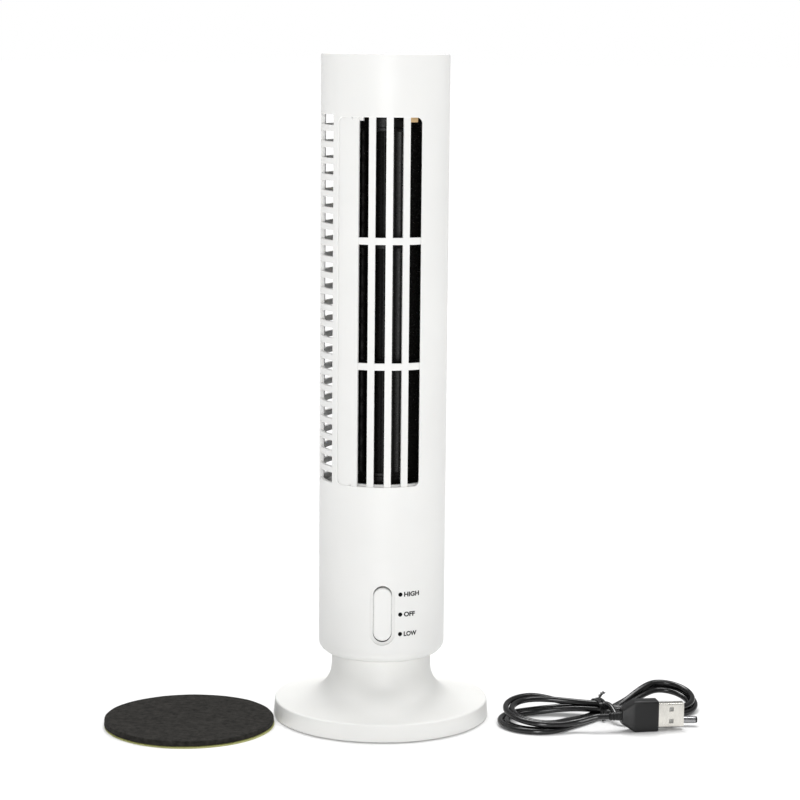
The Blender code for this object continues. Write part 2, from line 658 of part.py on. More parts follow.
def make_outlet_grille():
    """A curved plate behind the window, with a strip and bars raised into it, cut into slots."""
    outer = TOWER_INNER - GAP
    edge = math.degrees(GAP / TOWER_RADIUS)
    plate = (OUTLET_LEFT - GRILLE_FLANGE_ANGLE, OUTLET_RIGHT + GRILLE_FLANGE_ANGLE,
             OUTLET_BOTTOM - GRILLE_FLANGE, OUTLET_TOP + GRILLE_FLANGE)
    field = (OUTLET_LEFT + edge, OUTLET_RIGHT - edge, OUTLET_BOTTOM + GAP, OUTLET_TOP - GAP)
    grille = curved_plate("outlet_grille", plate, OUTLET_CORNER, outer - GRILLE_THICKNESS, outer,
                          material("grille_plastic", WHITE, 0.38))
    strip = curved_plate("strip_guide", field, OUTLET_CORNER, outer - BITE,
                         TOWER_RADIUS - STRIP_RECESS)
    bm = bmesh.new()
    add_wedge(bm, STRIP_RIGHT, OUTLET_RIGHT - edge, OUTLET_BOTTOM + GAP, OUTLET_TOP - GAP,
              outer - GRILLE_THICKNESS / 2, TOWER_RADIUS - GRILLE_RECESS, FACET_ANGLE)
    bars = finish("bars_guide", bm, None)
    bm = bmesh.new()
    for row in range(OUTLET_ROWS):
        high = OUTLET_TOP - row * (OUTLET_SLOT_HEIGHT + OUTLET_ROW_BAR)
        for left, right in outlet_columns():
            add_wedge(bm, left, right, high - OUTLET_SLOT_HEIGHT, high,
                      outer - GRILLE_THICKNESS - OVERSHOOT, TOWER_RADIUS + OVERSHOOT,
                      CUTTER_FACET)
    join_shape(grille, strip, "UNION")
    join_shape(grille, bars, "UNION")
    join_shape(grille, finish("outlet_slots_guide", bm, None), "DIFFERENCE")


# ================================================================ blower
def make_blower(axis):
    """The cross-flow wheel, with what turns with it."""
    bottom_hole = COUPLER_SPIGOT_RADIUS + GAP
    top_hole = AXLE_RADIUS + GAP
    wheel = turned("blower_wheel",
                   [(bottom_hole, WHEEL_BOTTOM), (WHEEL_RADIUS, WHEEL_BOTTOM),
                    (WHEEL_RADIUS, WHEEL_BOTTOM + WHEEL_DISC),
                    (HUB_RADIUS, WHEEL_BOTTOM + WHEEL_DISC),
                    (HUB_RADIUS, WHEEL_BOTTOM + HUB_HEIGHT),
                    (bottom_hole, WHEEL_BOTTOM + HUB_HEIGHT)],
                   material("wheel_plastic", BLACK, 0.3), WHEEL_STEPS)
    top = turned("wheel_top_guide",
                 [(top_hole, WHEEL_TOP), (WHEEL_RADIUS, WHEEL_TOP),
                  (WHEEL_RADIUS, WHEEL_TOP - WHEEL_DISC), (HUB_RADIUS, WHEEL_TOP - WHEEL_DISC),
                  (HUB_RADIUS, WHEEL_TOP - HUB_HEIGHT), (top_hole, WHEEL_TOP - HUB_HEIGHT)],
                 None, WHEEL_STEPS)
    join_shape(wheel, top, "UNION")
    section = (WHEEL_TOP - WHEEL_BOTTOM - WHEEL_DISC) / WHEEL_SECTIONS
    for i in range(1, WHEEL_SECTIONS):
        low = WHEEL_BOTTOM + i * section
        ring = turned("wheel_ring_guide_%d" % i,
                      [(WHEEL_INNER_RADIUS, low), (WHEEL_RADIUS, low),
                       (WHEEL_RADIUS, low + WHEEL_RING), (WHEEL_INNER_RADIUS, low + WHEEL_RING)],
                      None, WHEEL_STEPS)
        join_shape(wheel, ring, "UNION")
    join_shape(wheel, blades_guide(), "UNION")
    wheel.parent = axis

    axle = rod("wheel_axle", (0, 0, WHEEL_TOP - HUB_HEIGHT / 2),
               (0, 0, BRACKET_TOP + BUSH_HEIGHT / 2), AXLE_RADIUS,
               material("axle_steel", STEEL, 0.25, 1.0))
    axle.parent = axis
    bore = MOTOR_SHAFT_RADIUS + GAP
    low = MOUNT_TOP + SCREW_HEAD_HEIGHT + RUNNING_GAP
    coupler = turned("wheel_coupler",
                     [(bore, low), (COUPLER_RADIUS, low), (COUPLER_RADIUS, WHEEL_BOTTOM - GAP),
                      (COUPLER_SPIGOT_RADIUS, WHEEL_BOTTOM - GAP),
                      (COUPLER_SPIGOT_RADIUS, WHEEL_BOTTOM + HUB_HEIGHT),
                      (bore, WHEEL_BOTTOM + HUB_HEIGHT)],
                     material("coupler_rubber", (0.03, 0.03, 0.03), 0.8), 24)
    coupler.parent = axis
    shaft = rod("motor_shaft", (0, 0, MOTOR_BOTTOM + MOTOR_BELL_THICKNESS + GAP),
                (0, 0, WHEEL_BOTTOM + HUB_HEIGHT / 2), MOTOR_SHAFT_RADIUS,
                material("shaft_steel", STEEL, 0.2, 1.0), 12)
    shaft.parent = axis


def blades_guide():
    """Curved blades between the wheel's two discs, each swept round as it runs outwards."""
    inner = WHEEL_INNER_RADIUS + BITE
    outer = WHEEL_RADIUS - BITE
    bm = bmesh.new()
    for i in range(WHEEL_BLADES):
        centre = []
        for k in range(3):
            share = k / 2
            centre.append((inner + (outer - inner) * share,
                           360.0 * i / WHEEL_BLADES + BLADE_SWEEP * share ** 1.6))
        outline = []
        for side, points in ((1, centre), (-1, reversed(centre))):
            for radius, degrees in points:
                half = math.degrees(BLADE_THICKNESS / 2 / radius)
                outline.append((radius, degrees + side * half))
        add_loft(bm, [[around(radius, degrees, height) for radius, degrees in outline]
                      for height in (WHEEL_BOTTOM + WHEEL_DISC - BITE,
                                     WHEEL_TOP - WHEEL_DISC + BITE)])
    return finish("blades_guide", bm, None)


def make_bearing():
    """The bracket over the wheel, its rubber ring and the bush in it."""
    hole = RUBBER_RADIUS + GAP
    edge = TOWER_INNER - GAP
    turned("bearing_bracket",
           [(hole, BRACKET_BOTTOM), (edge, BRACKET_BOTTOM), (edge, BRACKET_TOP),
            (hole, BRACKET_TOP)],
           material("bracket_plastic", (0.78, 0.77, 0.74), 0.5), 2 * TOWER_STEPS)
    turned("bearing_rubber",
           [(BUSH_RADIUS + GAP, BRACKET_BOTTOM), (RUBBER_RADIUS, BRACKET_BOTTOM),
            (RUBBER_RADIUS, BRACKET_TOP), (BUSH_RADIUS + GAP, BRACKET_TOP)],
           material("bearing_rubber", (0.05, 0.05, 0.05), 0.85), 24)
    middle = (BRACKET_BOTTOM + BRACKET_TOP) / 2
    turned("bearing_bush",
           [(AXLE_RADIUS + GAP, middle - BUSH_HEIGHT / 2), (BUSH_RADIUS, middle - BUSH_HEIGHT / 2),
            (BUSH_RADIUS, middle + BUSH_HEIGHT / 2), (AXLE_RADIUS + GAP, middle + BUSH_HEIGHT / 2)],
           material("bush_bronze", (0.62, 0.42, 0.2), 0.35, 1.0), 24)
    bm = bmesh.new()
    right = OUTLET_FIRST_SLOT + (OUTLET_COLUMNS - 1) * OUTLET_SLOT_PITCH
    add_wedge(bm, right, OUTLET_RIGHT + OUTLET_EDGE_REVEAL, OUTLET_TOP - SEAL_DROP,
              BRACKET_BOTTOM - GAP, TOWER_INNER - GAP - GRILLE_THICKNESS - GAP - SEAL_DEPTH,
              TOWER_INNER - GAP - GRILLE_THICKNESS - GAP, FACET_ANGLE)
    finish("foam_seal", bm, material("seal_foam", (0.75, 0.55, 0.33), 0.9))


# ================================================================ motor
def make_motor():
    plate_edge = TOWER_INNER - GAP
    boss_hole = MOTOR_BOSS_RADIUS + GAP
    mount = turned("motor_mount",
                   [(boss_hole, MOUNT_BOTTOM), (plate_edge, MOUNT_BOTTOM),
                    (plate_edge, MOUNT_TOP), (boss_hole, MOUNT_TOP)],
                   material("mount_plastic", WHITE, 0.45), 2 * TOWER_STEPS)
    bore = MOTOR_SHAFT_RADIUS + GAP
    bell_top = MOTOR_BOTTOM + MOTOR_BELL_THICKNESS
    can = turned("motor_can",
                 [(bore, bell_top + GAP), (MOTOR_RADIUS, bell_top + GAP),
                  (MOTOR_RADIUS, MOTOR_TOP - MOTOR_EDGE), (MOTOR_RADIUS - MOTOR_EDGE, MOTOR_TOP),
                  (MOTOR_BOSS_RADIUS, MOTOR_TOP),
                  (MOTOR_BOSS_RADIUS, MOTOR_TOP + MOTOR_BOSS_HEIGHT),
                  (bore, MOTOR_TOP + MOTOR_BOSS_HEIGHT)],
                 material("motor_steel", (0.55, 0.55, 0.56), 0.35, 1.0), 24)
    turned("motor_end_bell",
           [(0.0, MOTOR_BOTTOM), (MOTOR_RADIUS - MOTOR_EDGE, MOTOR_BOTTOM),
            (MOTOR_RADIUS - MOTOR_EDGE, bell_top), (0.0, bell_top)],
           material("bell_plastic", (0.04, 0.04, 0.045), 0.5), 24)
    holes = []
    steel = material("motor_screw_steel", STEEL, 0.3, 1.0)
    for number, side in enumerate((-1, 1), start=1):
        x = side * MOTOR_SCREW_CIRCLE
        holes.append(((x, 0, MOTOR_TOP - MOTOR_SCREW_DEPTH - GAP), (x, 0, MOUNT_TOP + OVERSHOOT),
                      MOTOR_SCREW_RADIUS + GAP))
        make_screw("motor_screw_%d" % number, (x, 0, MOUNT_TOP + GAP), (0, 0, 1),
                   MOTOR_SCREW_RADIUS, MOUNT_TOP + GAP - MOTOR_TOP + MOTOR_SCREW_DEPTH,
                   MOTOR_SCREW_HEAD_RADIUS, steel)
    join_shape(mount, rods_guide("mount_holes_guide", holes), "DIFFERENCE")
    join_shape(can, rods_guide("can_holes_guide", holes), "DIFFERENCE")
    for name, side in (("plus", -1), ("minus", 1)):
        x = side * MOTOR_TERMINAL_X
        block("motor_terminal_" + name, (x - TAB_WIDTH / 2, -TAB_THICKNESS / 2, TAB_BOTTOM),
              (x + TAB_WIDTH / 2, TAB_THICKNESS / 2, TAB_BOTTOM + TAB_LENGTH),
              material("terminal_tin_" + name, (0.7, 0.66, 0.5), 0.35, 1.0))


def make_screw(name, seat, towards_head, radius, length, head_radius, mat):
    """A screw whose head sits on a seat point, its shank running the other way."""
    out = Vector(towards_head)
    turn = out.to_track_quat("Z", "Y").to_matrix().to_4x4()
    profile = [(0.0, -length), (radius, -length), (radius, 0.0), (head_radius, 0.0),
               (head_radius, SCREW_HEAD_EDGE), (head_radius - SCREW_HEAD_CHAMFER, SCREW_HEAD_HEIGHT),
               (0.0, SCREW_HEAD_HEIGHT)]
    screw = turned(name, profile, mat, 12)
    screw.matrix_world = Matrix.Translation(Vector(seat)) @ turn
    return screw


def make_tower_screws():
    steel = material("tower_screw_steel", STEEL, 0.3, 1.0)
    for number, (x, z) in enumerate(shell_screw_places(), start=1):
        make_screw("shell_screw_%d" % number, (x, SHELL_SCREW_SEAT + GAP, z), (0, 1, 0),
                   SCREW_RADIUS, SHELL_SCREW_SEAT + GAP + SHELL_SCREW_REACH, SCREW_HEAD_RADIUS,
                   steel)
    places = neck_screw_places(-1) + neck_screw_places(1)
    seat = NECK_TOP - BASE_WALL - GAP
    for number, (x, y) in enumerate(places, start=1):
        make_screw("neck_screw_%d" % number, (x, y, seat), (0, 0, -1), SCREW_RADIUS,
                   TOWER_BOTTOM + NECK_SCREW_REACH - seat, SCREW_HEAD_RADIUS, steel)


# ================================================================ speed switch
def make_rocker(pivot):
    """The rocker: a racetrack cap with a lug that the pivot pin passes through."""
    front = -TOWER_RADIUS + ROCKER_FACE_RECESS
    back = front + ROCKER_THICKNESS
    bm = bmesh.new()
    rings = []
    for y, inset in ((front, ROCKER_BEVEL), (front + ROCKER_BEVEL, 0.0), (back, 0.0)):
        rings += front_facing(racetrack(ROCKER_WIDTH - 2 * inset, ROCKER_LENGTH - 2 * inset),
                              [y], SWITCH_HEIGHT)
    add_loft(bm, rings)
    rocker = finish("speed_rocker", bm, material("rocker_plastic", WHITE, 0.32), 30.0)
    half = ROCKER_LUG_WIDTH / 2
    reach = PIVOT_RADIUS + GAP + ROCKER_LUG_WALL
    lug = block("rocker_lug_guide", (-half, back - BITE, SWITCH_HEIGHT - 2 * reach),
                (half, PIVOT_Y + reach, SWITCH_HEIGHT + 2 * reach), None, ROCKER_BEVEL)
    hole = rods_guide("rocker_bore_guide",
                      [((-RECESS_WIDTH, PIVOT_Y, SWITCH_HEIGHT),
                        (RECESS_WIDTH, PIVOT_Y, SWITCH_HEIGHT), PIVOT_RADIUS + GAP)], 20)
    join_shape(rocker, lug, "UNION")
    join_shape(rocker, hole, "DIFFERENCE")
    rocker.parent = pivot
    rocker.matrix_parent_inverse = Matrix.Translation(-pivot.location)


def make_switch_housing():
    housing = block("switch_housing",
                    (-HOUSING_OUTER_X, HOUSING_FRONT, SWITCH_HEIGHT - HOUSING_OUTER_Z),
                    (HOUSING_OUTER_X, HOUSING_BACK, SWITCH_HEIGHT + HOUSING_OUTER_Z),
                    material("housing_plastic", (0.05, 0.05, 0.055), 0.5))
    cavity = block("housing_cavity_guide",
                   (-HOUSING_INNER_X, HOUSING_FRONT - OVERSHOOT, SWITCH_HEIGHT - HOUSING_INNER_Z),
                   (HOUSING_INNER_X, HOUSING_BACK - HOUSING_WALL, SWITCH_HEIGHT + HOUSING_INNER_Z),
                   None)
    bore = rods_guide("housing_bore_guide",
                      [((-RECESS_WIDTH, PIVOT_Y, SWITCH_HEIGHT),
                        (RECESS_WIDTH, PIVOT_Y, SWITCH_HEIGHT), PIVOT_RADIUS + GAP)], 20)
    join_shape(housing, cavity, "DIFFERENCE")
    join_shape(housing, bore, "DIFFERENCE")
    rod("rocker_pivot_pin", (-HOUSING_OUTER_X, PIVOT_Y, SWITCH_HEIGHT),
        (HOUSING_OUTER_X, PIVOT_Y, SWITCH_HEIGHT), PIVOT_RADIUS,
        material("pivot_steel", STEEL, 0.25, 1.0), 16)
    for number, name in enumerate(("low", "common", "high")):
        z = SWITCH_HEIGHT + (number - 1) * TERMINAL_SPACING
        block("switch_terminal_" + name,
              (-TERMINAL_WIDTH / 2, TERMINAL_FRONT, z - TERMINAL_THICKNESS / 2),
              (TERMINAL_WIDTH / 2, TERMINAL_BACK, z + TERMINAL_THICKNESS / 2),
              material("switch_tin_" + name, (0.7, 0.66, 0.5), 0.35, 1.0))


# ================================================================ supply socket and wiring
def make_jack():
    half = JACK_SIZE / 2
    rear = math.sqrt(TOWER_INNER ** 2 - half ** 2) - RUNNING_GAP
    front = rear - JACK_LENGTH
    nose_end = TOWER_RADIUS - JACK_NOSE_RECESS
    jack = block("dc_jack", (-half, front, JACK_HEIGHT - half), (half, rear, JACK_HEIGHT + half),
                 material("jack_plastic", (0.03, 0.03, 0.03), 0.45))
    nose = rods_guide("jack_nose_guide", [((0, rear - OVERSHOOT, JACK_HEIGHT),
                                           (0, nose_end, JACK_HEIGHT), JACK_NOSE_RADIUS)], 24)
    bore_end = nose_end - JACK_BORE_DEPTH
    bore = rods_guide("jack_bore_guide", [((0, bore_end, JACK_HEIGHT),
                                           (0, nose_end + OVERSHOOT, JACK_HEIGHT),
                                           JACK_BORE_RADIUS)], 20)
    join_shape(jack, nose, "UNION")
    join_shape(jack, bore, "DIFFERENCE")
    rod("jack_pin", (0, bore_end + GAP, JACK_HEIGHT), (0, nose_end - JACK_PIN_RECESS, JACK_HEIGHT),
        JACK_PIN_RADIUS, material("jack_pin_nickel", STEEL, 0.2, 1.0), 12)
    return front


def make_wiring(jack_front):
    """Five hook-up wires and the resistor that makes the low speed."""
    clear = GAP + WIRE_DIAMETER / 2
    back = TERMINAL_BACK + GAP
    high_z = SWITCH_HEIGHT + TERMINAL_SPACING
    low_z = SWITCH_HEIGHT - TERMINAL_SPACING
    tab_z = TAB_BOTTOM - GAP
    x, y, z = RESISTOR_PLACE
    reach = RESISTOR_LENGTH / 2 + RESISTOR_LEAD_LENGTH
    lower_end = (x, y, z - reach - GAP)
    upper_end = (x, y, z + reach + GAP)
    plus = -MOTOR_TERMINAL_X
    minus = MOTOR_TERMINAL_X
    near = JACK_SIZE / 4
    routes = {
        "wire_supply": [(-near, jack_front - GAP, JACK_HEIGHT),
                        (-near, jack_front - 0.0060, JACK_HEIGHT + 0.0010),
                        (-0.0010, 0.0010, SWITCH_HEIGHT - 0.0020), (0, back, SWITCH_HEIGHT)],
        "wire_high": [(0, back, high_z), (-0.0005, back + 0.0040, high_z + 0.0020),
                      (plus + 0.0012, -0.0010, tab_z - 0.0100),
                      (plus + 0.0012 - clear, 0, tab_z)],
        "wire_low": [(0, back, low_z), (-0.0020, back + 0.0040, low_z - 0.0010),
                     (x + 0.0020, y - 0.0010, low_z + 0.0010), lower_end],
        "wire_resistor": [upper_end, (x, y, z + reach + 0.0050),
                          (plus - 0.0030, 0, tab_z - 0.0030),
                          (plus - 0.0012 + clear - 0.0004, 0, tab_z)],
        "wire_return": [(near, jack_front - GAP, JACK_HEIGHT),
                        (near + 0.0040, jack_front - 0.0060, JACK_HEIGHT + 0.0040),
                        (0.0110, 0.0060, SWITCH_HEIGHT + 0.0080),
                        (minus + 0.0020, 0.0010, tab_z - 0.0100), (minus, 0, tab_z)],
    }
    colours = {"wire_supply": (0.5, 0.02, 0.02), "wire_high": (0.5, 0.02, 0.02),
               "wire_low": (0.6, 0.5, 0.05), "wire_resistor": (0.6, 0.5, 0.05),
               "wire_return": (0.02, 0.02, 0.02)}
    for name, points in routes.items():
        tube(name, points, WIRE_DIAMETER, material(name + "_pvc", colours[name], 0.4))
    resistor = rod("speed_resistor", (x, y, z - RESISTOR_LENGTH / 2),
                   (x, y, z + RESISTOR_LENGTH / 2), RESISTOR_RADIUS,
                   material("resistor_enamel", (0.55, 0.42, 0.25), 0.4), 16)
    leads = rods_guide("resistor_leads_guide", [((x, y, z - reach), (x, y, z + reach),
                                                 RESISTOR_LEAD_RADIUS)], 8)
    join_shape(resistor, leads, "UNION")


# ================================================================ base
def flare(neck, rim, low, high, steps=FLARE_STEPS):
    """The trumpet curve from (neck, high) out to (rim, low): upright first, then flat."""
    share = 2 / FLARE_POWER
    points = []
    for i in range(steps + 1):
        turn = math.pi / 2 * i / steps
        points.append((neck + (rim - neck) * (1 - max(0.0, math.cos(turn)) ** share),
                       low + (high - low) * (1 - math.sin(turn) ** share)))
    return points


def base_boss_places():
    for i in range(BASE_SCREWS):
        yield around(BASE_RADIUS - BASE_SCREW_INSET, 45.0 + 360.0 * i / BASE_SCREWS, 0.0)


def make_base():
    rim = BASE_RADIUS - BASE_DRAFT
    rounding = BASE_EDGE_ROUND
    outline = [(FLOOR_HOLE_RADIUS, NECK_TOP - BASE_WALL), (FLOOR_HOLE_RADIUS, NECK_TOP),
               (NECK_RADIUS, NECK_TOP)]
    outline += flare(NECK_RADIUS, rim - rounding, BASE_RIM_TOP, NECK_LOW)
    corner = rounding * (1 - math.sqrt(0.5))
    outline += [(rim - corner, BASE_RIM_TOP - corner),
                (rim, BASE_RIM_TOP - rounding), (BASE_RADIUS, BASE_LIFT),
                (BASE_RADIUS - BASE_WALL, BASE_LIFT)]
    inner_rim = BASE_RADIUS - BASE_WALL
    outline += reversed(flare(NECK_RADIUS - BASE_WALL, inner_rim, BASE_RIM_TOP - BASE_WALL,
                              NECK_LOW - BASE_WALL / 2))
    outline.append((NECK_RADIUS - BASE_WALL, NECK_TOP - BASE_WALL))
    base = turned("base_shell", outline, material("base_plastic", WHITE, 0.3), BASE_STEPS)
    boss_low = BASE_PLATE_THICKNESS + GAP
    boss_high = BASE_RIM_TOP
    posts = []
    pilots = []
    for place in base_boss_places():
        posts.append(((place.x, place.y, boss_low), (place.x, place.y, boss_high), BOSS_RADIUS))
        pilots.append(((place.x, place.y, boss_low - OVERSHOOT),
                       (place.x, place.y, BASE_SCREW_REACH + GAP), SCREW_HOLE_RADIUS))
    join_shape(base, rods_guide("base_posts_guide", posts), "UNION")
    for side in (-1, 1):
        for x, y in neck_screw_places(side):
            pilots.append(((x, y, NECK_TOP - BASE_WALL - OVERSHOOT),
                           (x, y, NECK_TOP + OVERSHOOT), SCREW_HOLE_RADIUS))
    join_shape(base, rods_guide("base_pilots_guide", pilots), "DIFFERENCE")


def make_base_plate():
    """The flat plate that closes the base and carries the weight; its screws sit in wells."""
    edge = BASE_RADIUS - BASE_WALL - GAP
    plate = turned("base_plate", [(0.0, 0.0), (edge, 0.0), (edge, BASE_PLATE_THICKNESS),
                                  (0.0, BASE_PLATE_THICKNESS)],
                   material("base_plate_plastic", WHITE, 0.45), BASE_STEPS)
    steel = material("base_screw_steel", STEEL, 0.3, 1.0)
    well = SCREW_HEAD_HEIGHT + 2 * GAP
    wells = []
    holes = []
    for number, place in enumerate(base_boss_places(), start=1):
        wells.append(((place.x, place.y, -OVERSHOOT), (place.x, place.y, well),
                      SCREW_HEAD_RADIUS + GAP))
        holes.append(((place.x, place.y, -OVERSHOOT),
                      (place.x, place.y, BASE_PLATE_THICKNESS + OVERSHOOT), SCREW_HOLE_RADIUS))
        seat = well - GAP
        make_screw("base_screw_%d" % number, (place.x, place.y, seat), (0, 0, -1), SCREW_RADIUS,
                   BASE_SCREW_REACH - seat, SCREW_HEAD_RADIUS, steel)
    join_shape(plate, rods_guide("plate_wells_guide", wells), "DIFFERENCE")
    join_shape(plate, rods_guide("plate_holes_guide", holes), "DIFFERENCE")


# ================================================================ beside the fan
def disc_outline(radius, centre, steps=40):
    return [(centre[0] + radius * math.cos(2 * math.pi * i / steps),
             centre[1] + radius * math.sin(2 * math.pi * i / steps)) for i in range(steps)]


def make_pad():
    """The foam foot pad, still on its release paper."""
    place = around(BASE_RADIUS + PAD_BESIDE + PAD_RADIUS, PAD_BEARING, 0.0)
    low = LINER_THICKNESS + GAP
    return [prism("foam_pad", disc_outline(PAD_RADIUS, place), low, low + PAD_THICKNESS,
                  material("pad_foam", (0.03, 0.032, 0.034), 0.9)),
            prism("pad_liner", disc_outline(PAD_RADIUS + LINER_MARGIN, place + LINER_SHIFT), 0.0,
                  LINER_THICKNESS, material("liner_paper", (0.72, 0.74, 0.42), 0.6))]


def hank_outline(steps=14):
    """Two round lobes with a waist between them, around the line from lobe to lobe."""
    left = Vector(HANK_LEFT)
    right = Vector(HANK_RIGHT)
    along = (right - left).normalized()
    across = Vector((-along.y, along.x))
    half_span = (right - left).length / 2
    middle = (left + right) / 2
    outline = []
    for side in (1, -1):
        for i in range(steps + 1):
            turn = math.pi * i / steps - math.pi / 2
            outline.append(middle + side * (along * (half_span + HANK_LOBE_RADIUS * math.cos(turn))
                                            + across * HANK_LOBE_RADIUS * math.sin(turn)))
        for i in range(1, steps + 1):
            share = 2 * i / (steps + 1) - 1
            rise = 0.5 - 0.5 * math.cos(math.pi * share)
            width = HANK_WAIST + (HANK_LOBE_RADIUS - HANK_WAIST) * rise
            outline.append(middle + side * (across * width - along * half_span * share))
    return [(point.x, point.y) for point in outline]


def rounded_section(x, half_width, half_thickness, corner, corner_steps=3):
    """A round-cornered section across the plug's axis, its width upright."""
    ring = []
    for number, (sy, sz) in enumerate(((1, 1), (-1, 1), (-1, -1), (1, -1))):
        for i in range(corner_steps + 1):
            turn = math.pi / 2 * (number + i / corner_steps)
            ring.append(Vector((x, sy * (half_thickness - corner) + corner * math.cos(turn),
                                sz * (half_width - corner) + corner * math.sin(turn))))
    return ring


def add_x_rod(name, start, end, radius, inner, mat, sides=20):
    """A ring or tube along the plug's own X axis."""
    ring = turned(name, [(inner, start), (radius, start), (radius, end), (inner, end)], mat, sides)
    ring.data.transform(Matrix.Rotation(math.pi / 2, 4, "Y"))
    return ring


def make_usb_plug():
    """The overmould, the metal shell and the tongue, each along its own X axis."""
    half_width = USB_BODY_WIDTH / 2
    half_thickness = USB_BODY_THICKNESS / 2
    relief = USB_RELIEF_RADIUS
    body_start = USB_RELIEF_LENGTH
    full_start = body_start + USB_TAPER_LENGTH
    body_end = body_start + USB_BODY_LENGTH
    shoulder = relief + USB_SHOULDER
    sections = [(0.0, USB_RELIEF_START, USB_RELIEF_START, USB_RELIEF_START),
                (body_start - USB_RELIEF_STEP, relief, relief, relief),
                (body_start, shoulder, shoulder, USB_BODY_CORNER),
                (full_start, half_width, half_thickness, USB_BODY_CORNER),
                (body_end - USB_BODY_BEVEL, half_width, half_thickness, USB_BODY_CORNER),
                (body_end, half_width - USB_BODY_BEVEL, half_thickness - USB_BODY_BEVEL,
                 USB_BODY_CORNER)]
    bm = bmesh.new()
    add_loft(bm, [rounded_section(*section) for section in sections])
    body = finish("usb_plug_body", bm, material("usb_overmould", BLACK, 0.45))

    shell_start = body_end + GAP
    shell_end = shell_start + USB_SHELL_LENGTH
    width = USB_SHELL_WIDTH / 2
    thickness = USB_SHELL_THICKNESS / 2
    inner_width = width - USB_SHELL_WALL
    inner_thickness = thickness - USB_SHELL_WALL
    shell = block("usb_plug_shell", (shell_start, -thickness, -width),
                  (shell_end, thickness, width),
                  material("usb_nickel", (0.75, 0.74, 0.72), 0.25, 1.0))
    hollow = block("usb_hollow_guide", (shell_start - OVERSHOOT, -inner_thickness, -inner_width),
                   (shell_end + OVERSHOOT, inner_thickness, inner_width), None)
    bm = bmesh.new()
    middle = (shell_start + shell_end) / 2
    half = USB_WINDOW / 2
    for side in (-1, 1):
        z = side * USB_WINDOW_OFFSET
        add_block(bm, (middle - half, -thickness - OVERSHOOT, z - half),
                  (middle + half, thickness + OVERSHOOT, z + half))
    join_shape(shell, hollow, "DIFFERENCE")
    join_shape(shell, finish("usb_windows_guide", bm, None), "DIFFERENCE")
    tongue = block("usb_tongue", (shell_start, inner_thickness - GAP - USB_TONGUE_THICKNESS,
                                  -inner_width + GAP),
                   (shell_end - USB_TONGUE_RECESS, inner_thickness - GAP, inner_width - GAP),
                   material("tongue_plastic", (0.8, 0.8, 0.78), 0.5))
    turn = Matrix.Rotation(math.radians(USB_TURN), 4, "Z")
    place = Matrix.Translation((*USB_PLACE, half_width)) @ turn
    for item in (body, shell, tongue):
        item.matrix_world = place
        for guide in item.modifiers:
            guide.object.matrix_world = place
    return [body, shell, tongue]


def make_dc_plug():
    """The round plug that fits the fan's socket, each piece along its own X axis."""
    radius = DC_BODY_RADIUS
    body_start = DC_RELIEF_LENGTH
    body_end = body_start + DC_BODY_LENGTH
    bevel = DC_BODY_BEVEL
    profile = [(0.0, 0.0), (DC_RELIEF_RADIUS, 0.0),
               (DC_RELIEF_RADIUS + DC_RELIEF_FLARE, body_start), (radius - bevel, body_start),
               (radius, body_start + bevel), (radius, body_end - bevel),
               (radius - bevel, body_end), (0.0, body_end)]
    body = turned("dc_plug_body", profile, material("dc_overmould", BLACK, 0.4), 24)
    body.data.transform(Matrix.Rotation(math.pi / 2, 4, "Y"))
    barrel_end = body_end + GAP + DC_BARREL_LENGTH
    barrel = add_x_rod("dc_plug_barrel", body_end + GAP, barrel_end, DC_BARREL_RADIUS,
                       DC_BORE_RADIUS, material("dc_nickel", (0.72, 0.71, 0.69), 0.2, 1.0))
    tip = add_x_rod("dc_plug_tip", barrel_end + GAP, barrel_end + GAP + DC_TIP_LENGTH,
                    DC_BARREL_RADIUS, DC_BORE_RADIUS, material("dc_tip_plastic", BLACK, 0.4))
    for item in (body, barrel, tip):
        item.matrix_world = Matrix.Translation((*DC_PLACE, radius))
    return [body, barrel, tip]


def make_lead():
    """The hank of cord, its two short ends, its tie and its plugs."""
    cord = material("cord_pvc", BLACK, 0.3)
    left = Vector(HANK_LEFT)
    right = Vector(HANK_RIGHT)
    span = right - left
    hank = prism("lead_hank", hank_outline(), 0.0, HANK_HEIGHT, cord)
    usb_along = Vector((math.cos(math.radians(USB_TURN)), math.sin(math.radians(USB_TURN)), 0))
    tails = []
    for name, route, plug, along in (
            ("lead_tail_usb", USB_TAIL_ROUTE, Vector((*USB_PLACE, USB_BODY_WIDTH / 2)),
             usb_along),
            ("lead_tail_dc", DC_TAIL_ROUTE, Vector((*DC_PLACE, DC_BODY_RADIUS)),
             Vector((1, 0, 0)))):
        ends = [plug - along * (GAP + STRAIGHT_END), plug - along * GAP]
        tails.append(tube(name, route + ends, CORD_DIAMETER, cord))
    inner = HANK_WAIST + RUNNING_GAP
    outer = inner + TIE_THICKNESS
    low = GAP
    roof = HANK_HEIGHT + GAP
    top = roof + TIE_THICKNESS
    staple = [(-outer, low), (-inner, low), (-inner, roof), (inner, roof), (inner, low),
              (outer, low), (outer, top), (-outer, top)]
    bm = bmesh.new()
    add_loft(bm, [[Vector((x, y, z)) for y, z in staple] for x in (-TIE_WIDTH / 2, TIE_WIDTH / 2)])
    tie = finish("twist_tie", bm, material("tie_plastic", BLACK, 0.5))
    middle = (left + right) / 2
    tie.matrix_world = (Matrix.Translation((middle.x, middle.y, 0))
                        @ Matrix.Rotation(math.atan2(span.y, span.x), 4, "Z"))
    return [hank, tie] + tails + make_usb_plug() + make_dc_plug()


# ================================================================ the whole object
def axis_empty(name, place):
    empty = bpy.data.objects.new(name, None)
    empty.location = place
    bpy.context.collection.objects.link(empty)
    return empty


